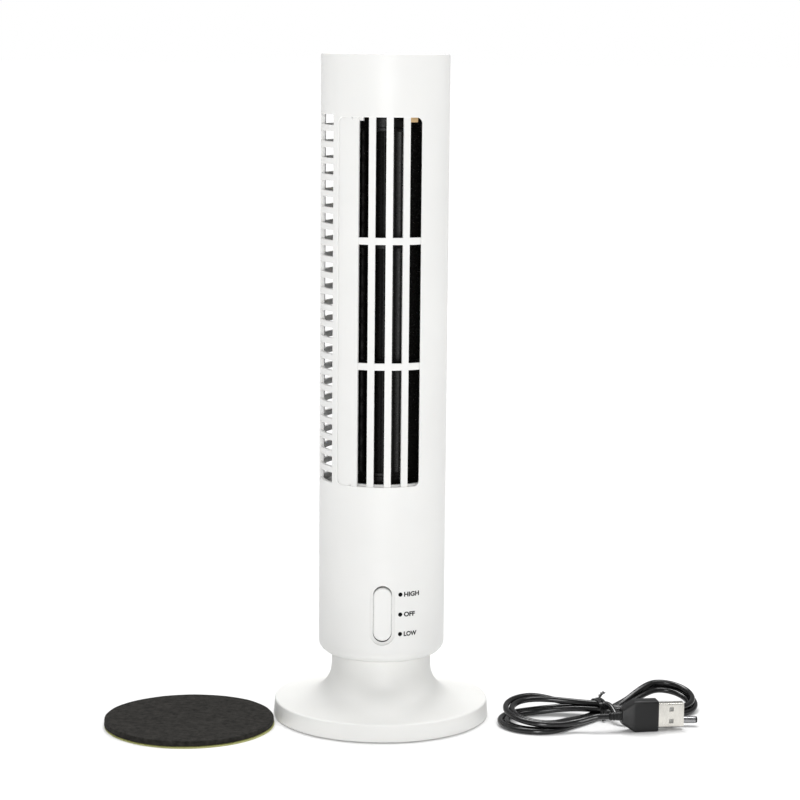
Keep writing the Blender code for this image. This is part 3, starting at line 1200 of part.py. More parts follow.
def main():
    clear_scene()
    make_front_shell()
    make_rear_shell()
    make_outlet_grille()
    make_top_cap()
    make_blower(axis_empty("blower_axis", (0, 0, 0)))
    make_bearing()
    make_motor()
    make_tower_screws()
    make_rocker(axis_empty("rocker_axis", (0, PIVOT_Y, SWITCH_HEIGHT)))
    make_switch_housing()
    make_wiring(make_jack())
    make_base()
    make_base_plate()
    pad_axis = axis_empty("pad_axis", (0, 0, 0))
    for item in make_pad():
        item.parent = pad_axis
    lead_axis = axis_empty("lead_axis", (0, 0, 0))
    for item in make_lead():
        item.parent = lead_axis


main()
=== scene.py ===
# %% [markdown]
# # A small USB tower fan
# A slotted white tower stands on a trumpet-shaped base. A long black wheel turns inside it,
# driven by a small motor at the bottom. The tied lead and the stick-on foam foot lie beside it.
# The frame of the model is loaded first, so that every piece made here goes where the
# mechanical model has it. Sizes are in metres, +Z is up and the front faces -Y.

import math

import bmesh
import bpy
from mathutils import Matrix, Vector


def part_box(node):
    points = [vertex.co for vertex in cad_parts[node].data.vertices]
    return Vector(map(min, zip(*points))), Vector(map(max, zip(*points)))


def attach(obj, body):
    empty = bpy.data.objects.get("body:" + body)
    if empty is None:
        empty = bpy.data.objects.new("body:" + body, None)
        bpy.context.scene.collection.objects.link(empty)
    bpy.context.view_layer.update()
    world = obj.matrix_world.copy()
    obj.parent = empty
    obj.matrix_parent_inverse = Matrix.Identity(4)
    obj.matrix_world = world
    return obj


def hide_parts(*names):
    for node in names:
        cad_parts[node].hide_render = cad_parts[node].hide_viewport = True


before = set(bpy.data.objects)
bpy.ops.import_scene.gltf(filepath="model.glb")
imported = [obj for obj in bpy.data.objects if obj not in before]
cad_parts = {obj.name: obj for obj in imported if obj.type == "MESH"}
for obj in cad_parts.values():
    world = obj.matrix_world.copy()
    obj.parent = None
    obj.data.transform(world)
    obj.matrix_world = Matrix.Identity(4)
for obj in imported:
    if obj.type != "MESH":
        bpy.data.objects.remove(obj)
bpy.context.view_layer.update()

# %% [markdown]
# ## Camera
# A long lens a good metre away keeps the tower's sides almost parallel, as product shots do.
# The camera looks down by about eight degrees, so the round base shows its top.

# %% Camera
CAMERA_PLACE = (-0.01988, -1.15670, 0.33275)
LENS, SENSOR = 106.16, 36.0      # millimetres
TURN, LOOK_DOWN, ROLL = -1.4, 8.491, 0.522      # degrees
scene = bpy.context.scene
camera_data = bpy.data.cameras.new("camera")
camera_data.lens = LENS
camera_data.sensor_width = SENSOR
camera_data.clip_start = 0.05
camera_data.clip_end = 60.0
camera = bpy.data.objects.new("camera", camera_data)
scene.collection.objects.link(camera)
camera.matrix_world = (Matrix.Translation(CAMERA_PLACE)
                       @ Matrix.Rotation(math.radians(TURN), 4, "Z")
                       @ Matrix.Rotation(math.radians(90.0 - LOOK_DOWN), 4, "X")
                       @ Matrix.Rotation(math.radians(ROLL), 4, "Z"))
scene.camera = camera
print("camera at", [round(value, 3) for value in camera.location])

# %% [markdown]
# ## Moulded plastic
# Most of the fan is injection-moulded plastic. Its colour is even, but the surface has a very
# fine grain from the spark-eroded mould, and broad, shallow waves where the wall shrank.
# One function makes every plastic: noise on Object coordinates drives the bump and a little
# of the roughness, so the same grain follows the piece wherever the camera stands.

# %% Material helpers
NOISE_LOW, NOISE_HIGH = 0.3, 0.7      # noise seldom leaves this range


def settle(node, values):
    """Set a node's own inputs from a table of names and values."""
    for name, value in values.items():
        node.inputs[name].default_value = value


def fresh_material(name):
    """An empty Principled material, with its nodes, links and shader at hand."""
    material = bpy.data.materials.new(name)
    material.use_nodes = True
    tree = material.node_tree
    return material, tree, tree.nodes["Principled BSDF"]


def noise_node(tree, scale, detail=3.0, source=None):
    """Noise on Object coordinates; scale is in features per metre."""
    if source is None:
        source = tree.nodes.new("ShaderNodeTexCoord").outputs["Object"]
    noise = tree.nodes.new("ShaderNodeTexNoise")
    settle(noise, {"Scale": scale, "Detail": detail})
    tree.links.new(source, noise.inputs["Vector"])
    return noise.outputs["Fac"]


def spread(tree, source, low, high):
    """Stretch the usual range of noise onto a range of values."""
    node = tree.nodes.new("ShaderNodeMapRange")
    settle(node, {"From Min": NOISE_LOW, "From Max": NOISE_HIGH, "To Min": low, "To Max": high})
    tree.links.new(source, node.inputs["Value"])
    return node.outputs["Result"]


def bump(tree, source, depth, strength=1.0, below=None):
    """A bump node; depth is the height of the relief in metres."""
    node = tree.nodes.new("ShaderNodeBump")
    settle(node, {"Strength": strength, "Distance": depth})
    tree.links.new(source, node.inputs["Height"])
    if below is not None:
        tree.links.new(below, node.inputs["Normal"])
    return node.outputs["Normal"]


def shades(tree, source, first, second):
    """Blend two colours by a value."""
    node = tree.nodes.new("ShaderNodeMix")
    node.data_type = "RGBA"
    node.inputs["A"].default_value = (*first, 1.0)
    node.inputs["B"].default_value = (*second, 1.0)
    tree.links.new(source, node.inputs["Factor"])
    return node.outputs["Result"]


def moulded(name, colour, roughness, grain=1700.0, depth=0.000012, coat=0.0, specular=0.5):
    """Injection-moulded plastic: fine grain, shallow waves and an almost even colour."""
    material, tree, shader = fresh_material(name)
    fine = noise_node(tree, grain, 2.0)
    broad = noise_node(tree, 28.0, 2.0)
    darker = tuple(value * 0.965 for value in colour)
    tint = shades(tree, spread(tree, broad, 0.0, 1.0), darker, colour)
    tree.links.new(tint, shader.inputs["Base Color"])
    tree.links.new(spread(tree, fine, roughness - 0.05, roughness + 0.05),
                   shader.inputs["Roughness"])
    waves = bump(tree, broad, 0.00012, 0.35)
    tree.links.new(bump(tree, fine, depth, 0.5, waves), shader.inputs["Normal"])
    settle(shader, {"Coat Weight": coat, "Coat Roughness": 0.12,
                    "Specular IOR Level": specular})
    return material


def bare_metal(name, colour, roughness, scratch=900.0):
    """Plated or drawn metal: fine lines stretched along Z, and cloudy roughness."""
    material, tree, shader = fresh_material(name)
    place = tree.nodes.new("ShaderNodeTexCoord").outputs["Object"]
    stretch = tree.nodes.new("ShaderNodeMapping")
    settle(stretch, {"Scale": (1.0, 1.0, 0.08)})
    tree.links.new(place, stretch.inputs["Vector"])
    lines = noise_node(tree, scratch, 3.0, stretch.outputs["Vector"])
    clouds = noise_node(tree, 220.0, 3.0, place)
    darker = tuple(value * 0.82 for value in colour)
    tree.links.new(shades(tree, clouds, darker, colour), shader.inputs["Base Color"])
    tree.links.new(spread(tree, lines, roughness - 0.06, roughness + 0.10),
                   shader.inputs["Roughness"])
    tree.links.new(bump(tree, lines, 0.00001, 0.4), shader.inputs["Normal"])
    settle(shader, {"Metallic": 1.0})
    return material


print("material helpers are ready")

# %% [markdown]
# ## The lead
# The supply lead is about nine tenths of a metre of thin, limp, two-core cord. It is wound in
# figures of eight and tied at the crossing, with both plugs in front of the tie. The route is
# written in the tie's own axes: one along the hank and one across it. Each pass is an arm out
# to a lobe, a half circle, and an arm back; a B-spline then makes one smooth curve of it.

# %% Route of the lead
CORD = 0.0030
LEAD_X = 0.0539
TIE_PLACE = Vector((LEAD_X + 0.0561, -0.0065))
ALONG = Vector((0.0570, 0.0230)).normalized()
ACROSS = Vector((-ALONG.y, ALONG.x))
USB_ENTRY = Vector((LEAD_X + 0.0582, -0.0325, 0.0078))
USB_TURN = math.radians(8.0)
DC_ENTRY = Vector((LEAD_X + 0.0735, -0.0222, 0.0033))
# One lobe pass each: how far out its middle is, its radius, its height at the tip, its lift.
LEFT_PASSES = [(0.0320, 0.0155, 0.0044, 0.0040), (0.0352, 0.0152, 0.0015, 0.0),
               (0.0352, 0.0184, 0.0015, 0.0003), (0.0320, 0.0186, 0.0046, 0.0048)]
RIGHT_PASSES = [(0.0385, 0.0150, 0.0015, 0.0060), (0.0385, 0.0135, 0.0044, 0.0062),
                (0.0385, 0.0118, 0.0015, 0.0056)]
# Where each strand crosses the tie: offset across it, and height.
RISING = [(0.0031, 0.0015), (0.0, 0.0015), (-0.0031, 0.0015)]
FALLING = [(-0.0031, 0.0045), (0.0, 0.0045), (0.0031, 0.0045)]
TOP_STRAND = (-0.00155, 0.0071)
# How far from each plug the lead runs straight, and how it reaches the hank from there.
DC_STRAIGHT, USB_STRAIGHT = (0.0004, 0.0023, 0.0043, 0.0062), (0.0062, 0.0042, 0.0022, 0.0004)
FROM_DC = [(0.0040, -0.0184, 0.0035), (0.0024, -0.0162, 0.0038), (0.0020, -0.0132, 0.0046),
           (0.0026, -0.0098, 0.0062), (0.0027, -0.0064, 0.0074), (0.0014, -0.0034, 0.0076),
           (-0.0008, -0.0009, 0.0073)]
TO_USB = [(-0.0225, -0.0196, 0.0050), (-0.0176, -0.0216, 0.0064)]


def eased(share):
    share = min(1.0, max(0.0, share))
    return share * share * (3.0 - 2.0 * share)


def arm(side, crossing, lobe, half, steps=7, belly=1.0):
    """Points from the tie out to one half of a lobe; belly is how early it spreads."""
    reach, radius, tip, lift = lobe
    far = tip + lift * (0.5 + 0.5 * half)
    points = []
    for i in range(1, steps):
        share = i / steps
        points.append((side * reach * share,
                       crossing[0] * (1 - share)
                       + half * radius * (belly * math.sin(math.pi / 2 * share)
                                          + (1 - belly) * share),
                       crossing[1] + (far - crossing[1]) * eased((share - 0.15) / 0.85)))
    return points


def lobe_bend(side, lobe, half, steps=9):
    """The half circle at the end of a lobe."""
    reach, radius, tip, lift = lobe
    points = []
    for i in range(steps + 1):
        turn = math.pi * i / steps
        points.append((side * (reach + radius * math.sin(turn)), half * radius * math.cos(turn),
                       tip + lift * (0.5 + 0.5 * half * math.cos(turn))))
    return points


def in_tie_axes(point):
    offset = Vector(point[:2]) - TIE_PLACE
    return (offset.dot(ALONG), offset.dot(ACROSS), point[2])


def lead_points():
    points = [in_tie_axes(DC_ENTRY - Vector((step, 0, 0))) for step in DC_STRAIGHT] + FROM_DC
    for number, lobe in enumerate(LEFT_PASSES):
        entry = TOP_STRAND if number == 0 else FALLING[number - 1]
        points += arm(-1, entry, lobe, 1) + lobe_bend(-1, lobe, 1)
        if number == len(LEFT_PASSES) - 1:
            points += arm(-1, FALLING[0], lobe, -1)[-1:]
            break
        middle = RISING[number]
        points += arm(-1, middle, lobe, -1, belly=0.25)[::-1] + [(0, *middle)]
        lobe = RIGHT_PASSES[number]
        points += arm(1, middle, lobe, 1, belly=0.1) + lobe_bend(1, lobe, 1)
        points += arm(1, FALLING[number], lobe, -1)[::-1] + [(0, *FALLING[number])]
    heading = Vector((math.cos(USB_TURN), math.sin(USB_TURN), 0))
    points += TO_USB + [in_tie_axes(USB_ENTRY - heading * step) for step in USB_STRAIGHT]
    return [Vector((*(TIE_PLACE + ALONG * s + ACROSS * t), z)) for s, t, z in points]


def b_spline(points, per_span=6):
    """A smooth curve along control points, with both ends kept."""
    nodes = [2 * points[0] - points[1]] + points + [2 * points[-1] - points[-2]]
    smooth = []
    for a, b, c, d in zip(nodes, nodes[1:], nodes[2:], nodes[3:]):
        for i in range(per_span):
            t = i / per_span
            smooth.append((a * (1 - t) ** 3 + b * (3 * t ** 3 - 6 * t * t + 4)
                           + c * (3 * t + 3 * t * t - 3 * t ** 3 + 1) + d * t ** 3) / 6)
    smooth.append((nodes[-3] + 4 * nodes[-2] + nodes[-1]) / 6)
    return smooth


def cord_curve(name, points, diameter, material, sides=5):
    """A round cord as a poly curve with filled ends."""
    curve = bpy.data.curves.new(name, "CURVE")
    curve.dimensions = "3D"
    curve.bevel_depth = diameter / 2
    curve.bevel_resolution = sides
    curve.use_fill_caps = True
    spline = curve.splines.new("POLY")
    spline.points.add(len(points) - 1)
    for knot, place in zip(spline.points, points):
        knot.co = (*place, 1.0)
    curve.materials.append(material)
    piece = bpy.data.objects.new(name, curve)
    scene.collection.objects.link(piece)
    return piece


vinyl = moulded("cord_vinyl", (0.0035, 0.0035, 0.0038), 0.20, 900.0, 0.00001)
lead_path = b_spline(lead_points())
lead = cord_curve("lead", lead_path, CORD, vinyl)

# %% [markdown]
# ## Mesh helpers
# Round pieces are turned: an outline of radius and height is carried round the Z axis.
# Everything else is lofted: rings with the same number of points are skinned one to the next.
# The angle round the tower is measured from the front and grows towards +X.

# %% Mesh helpers
SHARP = 38.0        # edges that fold by more degrees than this are sharp
MERGE = 0.000002    # points nearer than this are one after a cut


def around(radius, degrees, height):
    turn = math.radians(degrees)
    return Vector((radius * math.sin(turn), -radius * math.cos(turn), height))


def made(name, bm, material, sharp=SHARP):
    """Turn a bmesh into an object at the origin, smooth but for its sharp edges."""
    bmesh.ops.recalc_face_normals(bm, faces=bm.faces)
    mesh = bpy.data.meshes.new(name)
    bm.to_mesh(mesh)
    bm.free()
    mesh.shade_smooth()
    mesh.set_sharp_from_angle(angle=math.radians(sharp))
    if material:
        mesh.materials.append(material)
    piece = bpy.data.objects.new(name, mesh)
    scene.collection.objects.link(piece)
    return piece


def loft(bm, rings, closed=False):
    loops = [[bm.verts.new(point) for point in ring] for ring in rings]
    count = len(loops[0])
    pairs = list(zip(loops, loops[1:]))
    if closed:
        pairs.append((loops[-1], loops[0]))
    for first, second in pairs:
        for i in range(count):
            j = (i + 1) % count
            bm.faces.new((first[i], first[j], second[j], second[i]))
    if not closed:
        bm.faces.new(loops[0])
        bm.faces.new(list(reversed(loops[-1])))


def turn_outline(bm, profile, steps, start=-180.0, end=180.0):
    full = end - start >= 360.0
    count = steps if full else steps + 1
    loft(bm, [[around(radius, start + (end - start) * i / steps, height)
               for radius, height in profile] for i in range(count)], full)
    bmesh.ops.remove_doubles(bm, verts=bm.verts, dist=0.000001)
    bmesh.ops.delete(bm, geom=[edge for edge in bm.edges if not edge.link_faces],
                     context="EDGES")


def turned(name, profile, material, steps=192, sharp=SHARP):
    bm = bmesh.new()
    turn_outline(bm, profile, steps)
    return made(name, bm, material, sharp)


def circle(radius, sides):
    """Points of a circle about the origin, as pairs."""
    return [(radius * math.cos(2 * math.pi * i / sides),
             radius * math.sin(2 * math.pi * i / sides)) for i in range(sides)]


def arc(centre, radius, first, last, steps):
    """Points of an arc in (radius, height); angles in degrees."""
    return [(centre[0] + radius * math.cos(math.radians(first + (last - first) * i / steps)),
             centre[1] + radius * math.sin(math.radians(first + (last - first) * i / steps)))
            for i in range(steps + 1)]


def add_rod(bm, start, end, radius, sides=48):
    start, end = Vector(start), Vector(end)
    turn = (end - start).to_track_quat("Z", "Y").to_matrix().to_4x4()
    bmesh.ops.create_cone(bm, cap_ends=True, segments=sides, radius1=radius, radius2=radius,
                          depth=(end - start).length,
                          matrix=Matrix.Translation((start + end) / 2) @ turn)


def cut(piece, *tools):
    """Cut pieces out of one, for good, and drop the cutters."""
    for tool in tools:
        step = piece.modifiers.new("cut", "BOOLEAN")
        step.operation = "DIFFERENCE"
        step.solver = "EXACT"
        step.object = tool
    settled = bpy.data.meshes.new_from_object(
        piece.evaluated_get(bpy.context.evaluated_depsgraph_get()))
    piece.modifiers.clear()
    piece.data = settled
    for tool in tools:
        bpy.data.objects.remove(tool, do_unlink=True)
    bm = bmesh.new()
    bm.from_mesh(settled)
    bmesh.ops.remove_doubles(bm, verts=bm.verts, dist=MERGE)
    bmesh.ops.dissolve_degenerate(bm, edges=bm.edges, dist=MERGE)
    bm.to_mesh(settled)
    bm.free()
    settled.set_sharp_from_angle(angle=math.radians(SHARP))
    return piece


print("mesh helpers are ready")

# %% [markdown]
# ## Repeating with Geometry Nodes
# Slats, bars, blades and ribs all repeat one shape: in a row, round the tower's axis, or both.
# One small tree does it. It puts the shape on a line of points, turns that row round Z, and
# ends in real geometry with one material. Its counts and steps are named inputs.

# %% The repeating tree
SOCKETS = (("Shape", "INPUT", "Geometry"), ("Row count", "INPUT", "Int"),
           ("Row step", "INPUT", "Vector"), ("Ring count", "INPUT", "Int"),
           ("Ring step", "INPUT", "Float"), ("Material", "INPUT", "Material"),
           ("Geometry", "OUTPUT", "Geometry"))
NODES = {"given": "NodeGroupInput", "row": "GeometryNodeMeshLine",
         "in_row": "GeometryNodeInstanceOnPoints", "ring": "GeometryNodeMeshLine",
         "index": "GeometryNodeInputIndex", "angle": "ShaderNodeMath",
         "turn": "ShaderNodeCombineXYZ", "in_ring": "GeometryNodeInstanceOnPoints",
         "real": "GeometryNodeRealizeInstances", "paint": "GeometryNodeSetMaterial",
         "result": "NodeGroupOutput"}
LINKS = (("given", "Row count", "row", "Count"), ("given", "Row step", "row", "Offset"),
         ("row", "Mesh", "in_row", "Points"), ("given", "Shape", "in_row", "Instance"),
         ("given", "Ring count", "ring", "Count"), ("index", "Index", "angle", 0),
         ("given", "Ring step", "angle", 1), ("angle", "Value", "turn", "Z"),
         ("ring", "Mesh", "in_ring", "Points"), ("in_row", "Instances", "in_ring", "Instance"),
         ("turn", "Vector", "in_ring", "Rotation"), ("in_ring", "Instances", "real", "Geometry"),
         ("real", "Geometry", "paint", "Geometry"), ("given", "Material", "paint", "Material"),
         ("paint", "Geometry", "result", "Geometry"))


def repeating_tree():
    tree = bpy.data.node_groups.new("row_and_ring", "GeometryNodeTree")
    for name, way, kind in SOCKETS:
        tree.interface.new_socket(name, in_out=way, socket_type="NodeSocket" + kind)
    nodes = {name: tree.nodes.new(kind) for name, kind in NODES.items()}
    nodes["angle"].operation = "MULTIPLY"
    settle(nodes["ring"], {"Offset": (0.0, 0.0, 0.0)})
    for first, out, second, into in LINKS:
        tree.links.new(nodes[first].outputs[out], nodes[second].inputs[into])
    return tree


REPEATING = repeating_tree()


def repeated(shape, material, rows=1, row_step=(0, 0, 0), rings=1, ring_step=0.0):
    """Run the tree on a shape and keep the plain mesh; ring_step is in degrees."""
    step = shape.modifiers.new("repeat", "NODES")
    step.node_group = REPEATING
    values = {"Row count": rows, "Row step": row_step, "Ring count": rings,
              "Ring step": math.radians(ring_step), "Material": material}
    for item in REPEATING.interface.items_tree:
        if item.item_type == "SOCKET" and item.name in values:
            step[item.identifier] = values[item.name]
    mesh = bpy.data.meshes.new_from_object(
        shape.evaluated_get(bpy.context.evaluated_depsgraph_get()))
    shape.modifiers.clear()
    shape.data = mesh
    mesh.shade_smooth()
    mesh.set_sharp_from_angle(angle=math.radians(SHARP))
    print(shape.name, "repeated", rows, "x", rings)
    return shape


print("repeating tree has", len(REPEATING.nodes), "nodes")

# %% [markdown]
# ## White plastic for the casing
# The casing is white polystyrene with a soft satin skin. A little light enters it, which keeps
# its shaded side from looking dead, so a touch of subsurface goes with the satin gloss.

# %% Casing materials
def casing(name, colour, roughness):
    material = moulded(name, colour, roughness, 1900.0, 0.00001)
    shader = material.node_tree.nodes["Principled BSDF"]
    settle(shader, {"Subsurface Weight": 0.08, "Subsurface Radius": (0.002, 0.0018, 0.0016),
                    "Subsurface Scale": 0.5})
    return material


white = casing("white_plastic", (0.80, 0.80, 0.785), 0.42)
base_white = casing("base_white_plastic", (0.82, 0.82, 0.80), 0.46)
print("casing materials:", white.name, base_white.name)

# %% [markdown]
# ## The two tower shells
# Each shell is half a tube with a floor, moulded in one piece and closed along a seam at each
# side. The tube is turned through half a circle, and the openings are cut out of it with
# curved cutters. Each cutter widens at the skin, so every opening gets a small bevelled lip
# that catches the light, as a moulded edge does.

# %% Tower sizes and the half shell
HEIGHT = 0.330
RADIUS = 0.0314
WALL = 0.0020
INNER = RADIUS - WALL
BOTTOM = 0.0332
FILLET = 0.0060
FLOOR_HOLE = 0.0050      # the wires pass from the tower to the base through it
LEDGE = 0.0020           # width and height of the ledge under the cap
CAP_RECESS, CAP_THICK, GAP = 0.0010, 0.0026, 0.0003
CAP_LEDGE_TOP = HEIGHT - CAP_RECESS - CAP_THICK - GAP
LIP = 0.00022
SWITCH_HEIGHT = 0.0584
JACK_HEIGHT, JACK_HOLE = 0.0470, 0.0035
HALF_TURN = 89.75      # degrees: half a shell's arc, a hair short of the seam plane
OVER = 0.0030          # how far a cutter runs past the wall
OUTLET = (-46.4, 33.6, 0.1216, 0.3000)
SIDE_INTAKE = (-84.0, -53.5, 0.1217, 0.3008)
REAR_COLUMN, REAR_RIB, REAR_COLUMNS = 36.6, 4.2, 4


def tower_outline():
    outline = [(INNER, HEIGHT)] + arc((RADIUS - 0.0007, HEIGHT - 0.0007), 0.0007, 90, 0, 5)
    outline += arc((RADIUS - FILLET, BOTTOM + FILLET), FILLET, 0, -90, 16)
    outline += [(FLOOR_HOLE, BOTTOM), (FLOOR_HOLE, BOTTOM + WALL)]
    outline += arc((RADIUS - FILLET, BOTTOM + FILLET), FILLET - WALL, -90, 0, 8)
    outline += [(INNER, CAP_LEDGE_TOP - LEDGE), (INNER - LEDGE, CAP_LEDGE_TOP - LEDGE),
                (INNER - LEDGE, CAP_LEDGE_TOP), (INNER, CAP_LEDGE_TOP)]
    return outline


def half_shell(name, middle):
    """Half the tower round a middle angle."""
    bm = bmesh.new()
    turn_outline(bm, tower_outline(), 112, middle - HALF_TURN, middle + HALF_TURN)
    return made(name, bm, white)


def rounded_field(left, right, corner, grow, steps, spans):
    """Angles across a round-cornered field, and how far its top and bottom are in at each."""
    radius = corner + grow
    wide = math.degrees(radius / RADIUS)
    first = left - math.degrees(grow / RADIUS)
    last = right + math.degrees(grow / RADIUS)
    turns = [math.pi / 2 * i / steps for i in range(steps + 1)]
    found = [(first + wide * (1 - math.sin(turn)), radius * (1 - math.cos(turn)) - grow)
             for turn in reversed(turns)]
    inner_left, inner_right = first + wide, last - wide
    found += [(inner_left + (inner_right - inner_left) * i / spans, -grow)
              for i in range(1, spans)]
    return found + [(last - wide * (1 - math.sin(turn)), radius * (1 - math.cos(turn)) - grow)
                    for turn in turns]


def opening_cutter(field, corner, relief=0.0):
    """A round-cornered cutter that follows the tower and widens at its skin.

    Relief is how far, in degrees, the sides of the opening are thinned from behind.
    """
    left, right, low, high = field
    bm = bmesh.new()
    rings = []
    centre = (left + right) / 2
    plain, grown = (rounded_field(left, right, corner, grow, 6, 48) for grow in (0.0, LIP + OVER))
    for (angle, inset), (out_angle, out_inset) in zip(plain, grown):
        deep_angle = centre + (angle - centre) * (1 + 2 * relief / (right - left))
        rings.append([around(INNER - OVER, deep_angle, low + inset),
                      around(RADIUS - LIP, angle, low + inset),
                      around(RADIUS + OVER, out_angle, low + out_inset),
                      around(RADIUS + OVER, out_angle, high - out_inset),
                      around(RADIUS - LIP, angle, high - inset),
                      around(INNER - OVER, deep_angle, high - inset)])
    loops = [[bm.verts.new(point) for point in ring] for ring in rings]
    for first, second in zip(loops, loops[1:]):
        for i in range(6):
            j = (i + 1) % 6
            bm.faces.new((first[i], first[j], second[j], second[i]))
    for loop in (loops[0], loops[-1]):
        bm.faces.new((loop[0], loop[1], loop[4], loop[5]))
        bm.faces.new((loop[1], loop[2], loop[3], loop[4]))
    return made("opening_cutter", bm, None)


def racetrack(width, length, steps=24):
    radius = width / 2
    straight = length / 2 - radius
    return [(radius * math.cos(first + math.pi * i / steps),
             centre + radius * math.sin(first + math.pi * i / steps))
            for centre, first in ((straight, 0.0), (-straight, math.pi))
            for i in range(steps + 1)]


def racetrack_rings(sections):
    """Rings that face the front; sections are (y, width, length)."""
    return [[Vector((x, y, SWITCH_HEIGHT + z)) for x, z in racetrack(width, length)]
            for y, width, length in sections]


def rod_cutter(start, end, radius):
    bm = bmesh.new()
    add_rod(bm, start, end, radius, 40)
    return made("rod_cutter", bm, None)


print("shell helpers are ready")

# %% Front shell, with its outlet, side intake and switch recess
front_shell = half_shell("front_casing", 0.0)
RECESS, RECESS_DEPTH, ROCKER_HOLE = (0.0122, 0.0310), 0.0014, (0.0092, 0.0281)
OUTLET_CORNER, SLOT_CORNER, OUTLET_RELIEF = 0.0030, 0.0006, 6.0


def racetrack_cutter(name, size, back):
    bm = bmesh.new()
    loft(bm, racetrack_rings([(-RADIUS - OVER, *size), (back, *size)]))
    return made(name, bm, None)


cut(front_shell, opening_cutter(OUTLET, OUTLET_CORNER, OUTLET_RELIEF),
    opening_cutter(SIDE_INTAKE, SLOT_CORNER),
    racetrack_cutter("recess_cutter", RECESS, -RADIUS + RECESS_DEPTH),
    racetrack_cutter("hole_cutter", ROCKER_HOLE, -INNER + OVER))
print("front casing:", len(front_shell.data.polygons), "faces")

# %% Rear shell, with four intake columns, screw wells and the socket hole
pitch = REAR_COLUMN + REAR_RIB
first_column = 180.0 - (REAR_COLUMNS * pitch - REAR_RIB) / 2
rear_shell = half_shell("rear_casing", 180.0)
WELL_SIDE, WELL_RADIUS = 0.0220, 0.0029
screw_boxes = [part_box(name) for name in ("shell_screw_1", "shell_screw_3")]
SCREW_WELLS = [(side * WELL_SIDE, (low.z + high.z) / 2)
               for side in (-1, 1) for low, high in screw_boxes]
cutters = [opening_cutter((first_column + i * pitch, first_column + i * pitch + REAR_COLUMN,
                           SIDE_INTAKE[2], SIDE_INTAKE[3]), SLOT_CORNER)
           for i in range(REAR_COLUMNS)]
cutters += [rod_cutter((x, 0.0150, z), (x, RADIUS + OVER, z), WELL_RADIUS)
            for x, z in SCREW_WELLS]
cutters.append(rod_cutter((0, 0.02, JACK_HEIGHT), (0, RADIUS + OVER, JACK_HEIGHT), JACK_HOLE))
cut(rear_shell, *cutters)
print("rear casing:", len(rear_shell.data.polygons), "faces")

# %% [markdown]
# ### Screw wells
# The four casing screws sit at the bottom of round wells. Each well is a thin-walled tube
# behind the hole in the skin, so nothing is seen of the inside of the fan through it.

# %% Screw wells
# The tube's section, as depth and radius: its wall, and the floor that the screw sits on.
WELL_SECTION = ((0.0117, 0.0044), (0.0188, 0.0044), (0.0188, WELL_RADIUS),
                (0.0121, WELL_RADIUS), (0.0121, 0.0014), (0.0117, 0.0014))
wells = bmesh.new()
for x, z in SCREW_WELLS:
    loft(wells, [[Vector((x + across, y, z + up)) for across, up in circle(radius, 40)]
                 for y, radius in WELL_SECTION], closed=True)
screw_wells = made("screw_wells", wells, white)
print("wells at", [(round(x, 4), round(z, 4)) for x, z in SCREW_WELLS])

# %% [markdown]
# ### Slats
# The intake openings are filled with level slats, flush with the skin. One slat is a curved
# bar with softened edges; the repeating tree stacks it up each column and, at the back, turns
# the stack round the tower.

# %% Intake slats
def curved_bar(name, left, right, low, high, inner, outer, soft=0.00018, spans=24):
    """A bar that follows the tower, its four long edges bevelled."""
    bm = bmesh.new()
    rings = []
    for i in range(spans + 1):
        angle = left + (right - left) * i / spans
        rings.append([around(radius, angle, height) for radius, height in
                      ((inner, low + soft), (inner + soft, low), (outer - soft, low),
                       (outer, low + soft), (outer, high - soft), (outer - soft, high),
                       (inner + soft, high), (inner, high - soft))])
    loft(bm, rings)
    return made(name, bm, white)


ROWS, BAR = 23, 0.0030
SLAT_INNER, SLAT_OUTER = INNER + 0.0001, RADIUS - 0.00006
row_pitch = (SIDE_INTAKE[3] - SIDE_INTAKE[2] + BAR) / ROWS
slat_low = SIDE_INTAKE[2] + row_pitch - BAR
INTO_WALL = 0.6      # degrees that a slat's ends reach into the wall
side_slats = repeated(
    curved_bar("side_slats", SIDE_INTAKE[0] - INTO_WALL, SIDE_INTAKE[1] + INTO_WALL, slat_low,
               slat_low + BAR, SLAT_INNER, SLAT_OUTER),
    white, ROWS - 1, (0, 0, row_pitch))
rear_slats = repeated(
    curved_bar("rear_slats", first_column - INTO_WALL, first_column + REAR_COLUMN + INTO_WALL,
               slat_low, slat_low + BAR, SLAT_INNER, SLAT_OUTER),
    white, ROWS - 1, (0, 0, row_pitch), REAR_COLUMNS, pitch)

# %% [markdown]
# ### Outlet grille
# The outlet is a separate moulding that clips in from behind. It has a blank strip on its
# left, four upright bars and two level ones, and a frame that hides behind the casing.

# %% Outlet grille
STRIP_RIGHT, FIRST_SLOT, SLOT_PITCH = -31.2, -24.9, 15.7
GRILLE_BACK, GRILLE_FRONT = INNER - 0.0023, INNER - 0.0003
UPRIGHTS, LEVELS, LEVEL_BAR = 4, 2, 0.0034
uprights = repeated(
    curved_bar("grille_uprights", STRIP_RIGHT + 0.05, FIRST_SLOT, OUTLET[2] - 0.0012,
               OUTLET[3] + 0.0012, RADIUS - 0.0017, RADIUS - 0.0005, 0.00008, 6),
    white, 1, (0, 0, 0), UPRIGHTS, SLOT_PITCH)
slot_height = (OUTLET[3] - OUTLET[2] - LEVELS * LEVEL_BAR) / (LEVELS + 1)
levels = repeated(
    curved_bar("grille_levels", STRIP_RIGHT + 0.2, OUTLET[1] + 1.5, OUTLET[2] + slot_height,
               OUTLET[2] + slot_height + LEVEL_BAR, RADIUS - 0.0018, RADIUS - 0.00062,
               0.0001, 48),
    white, LEVELS, (0, 0, slot_height + LEVEL_BAR))


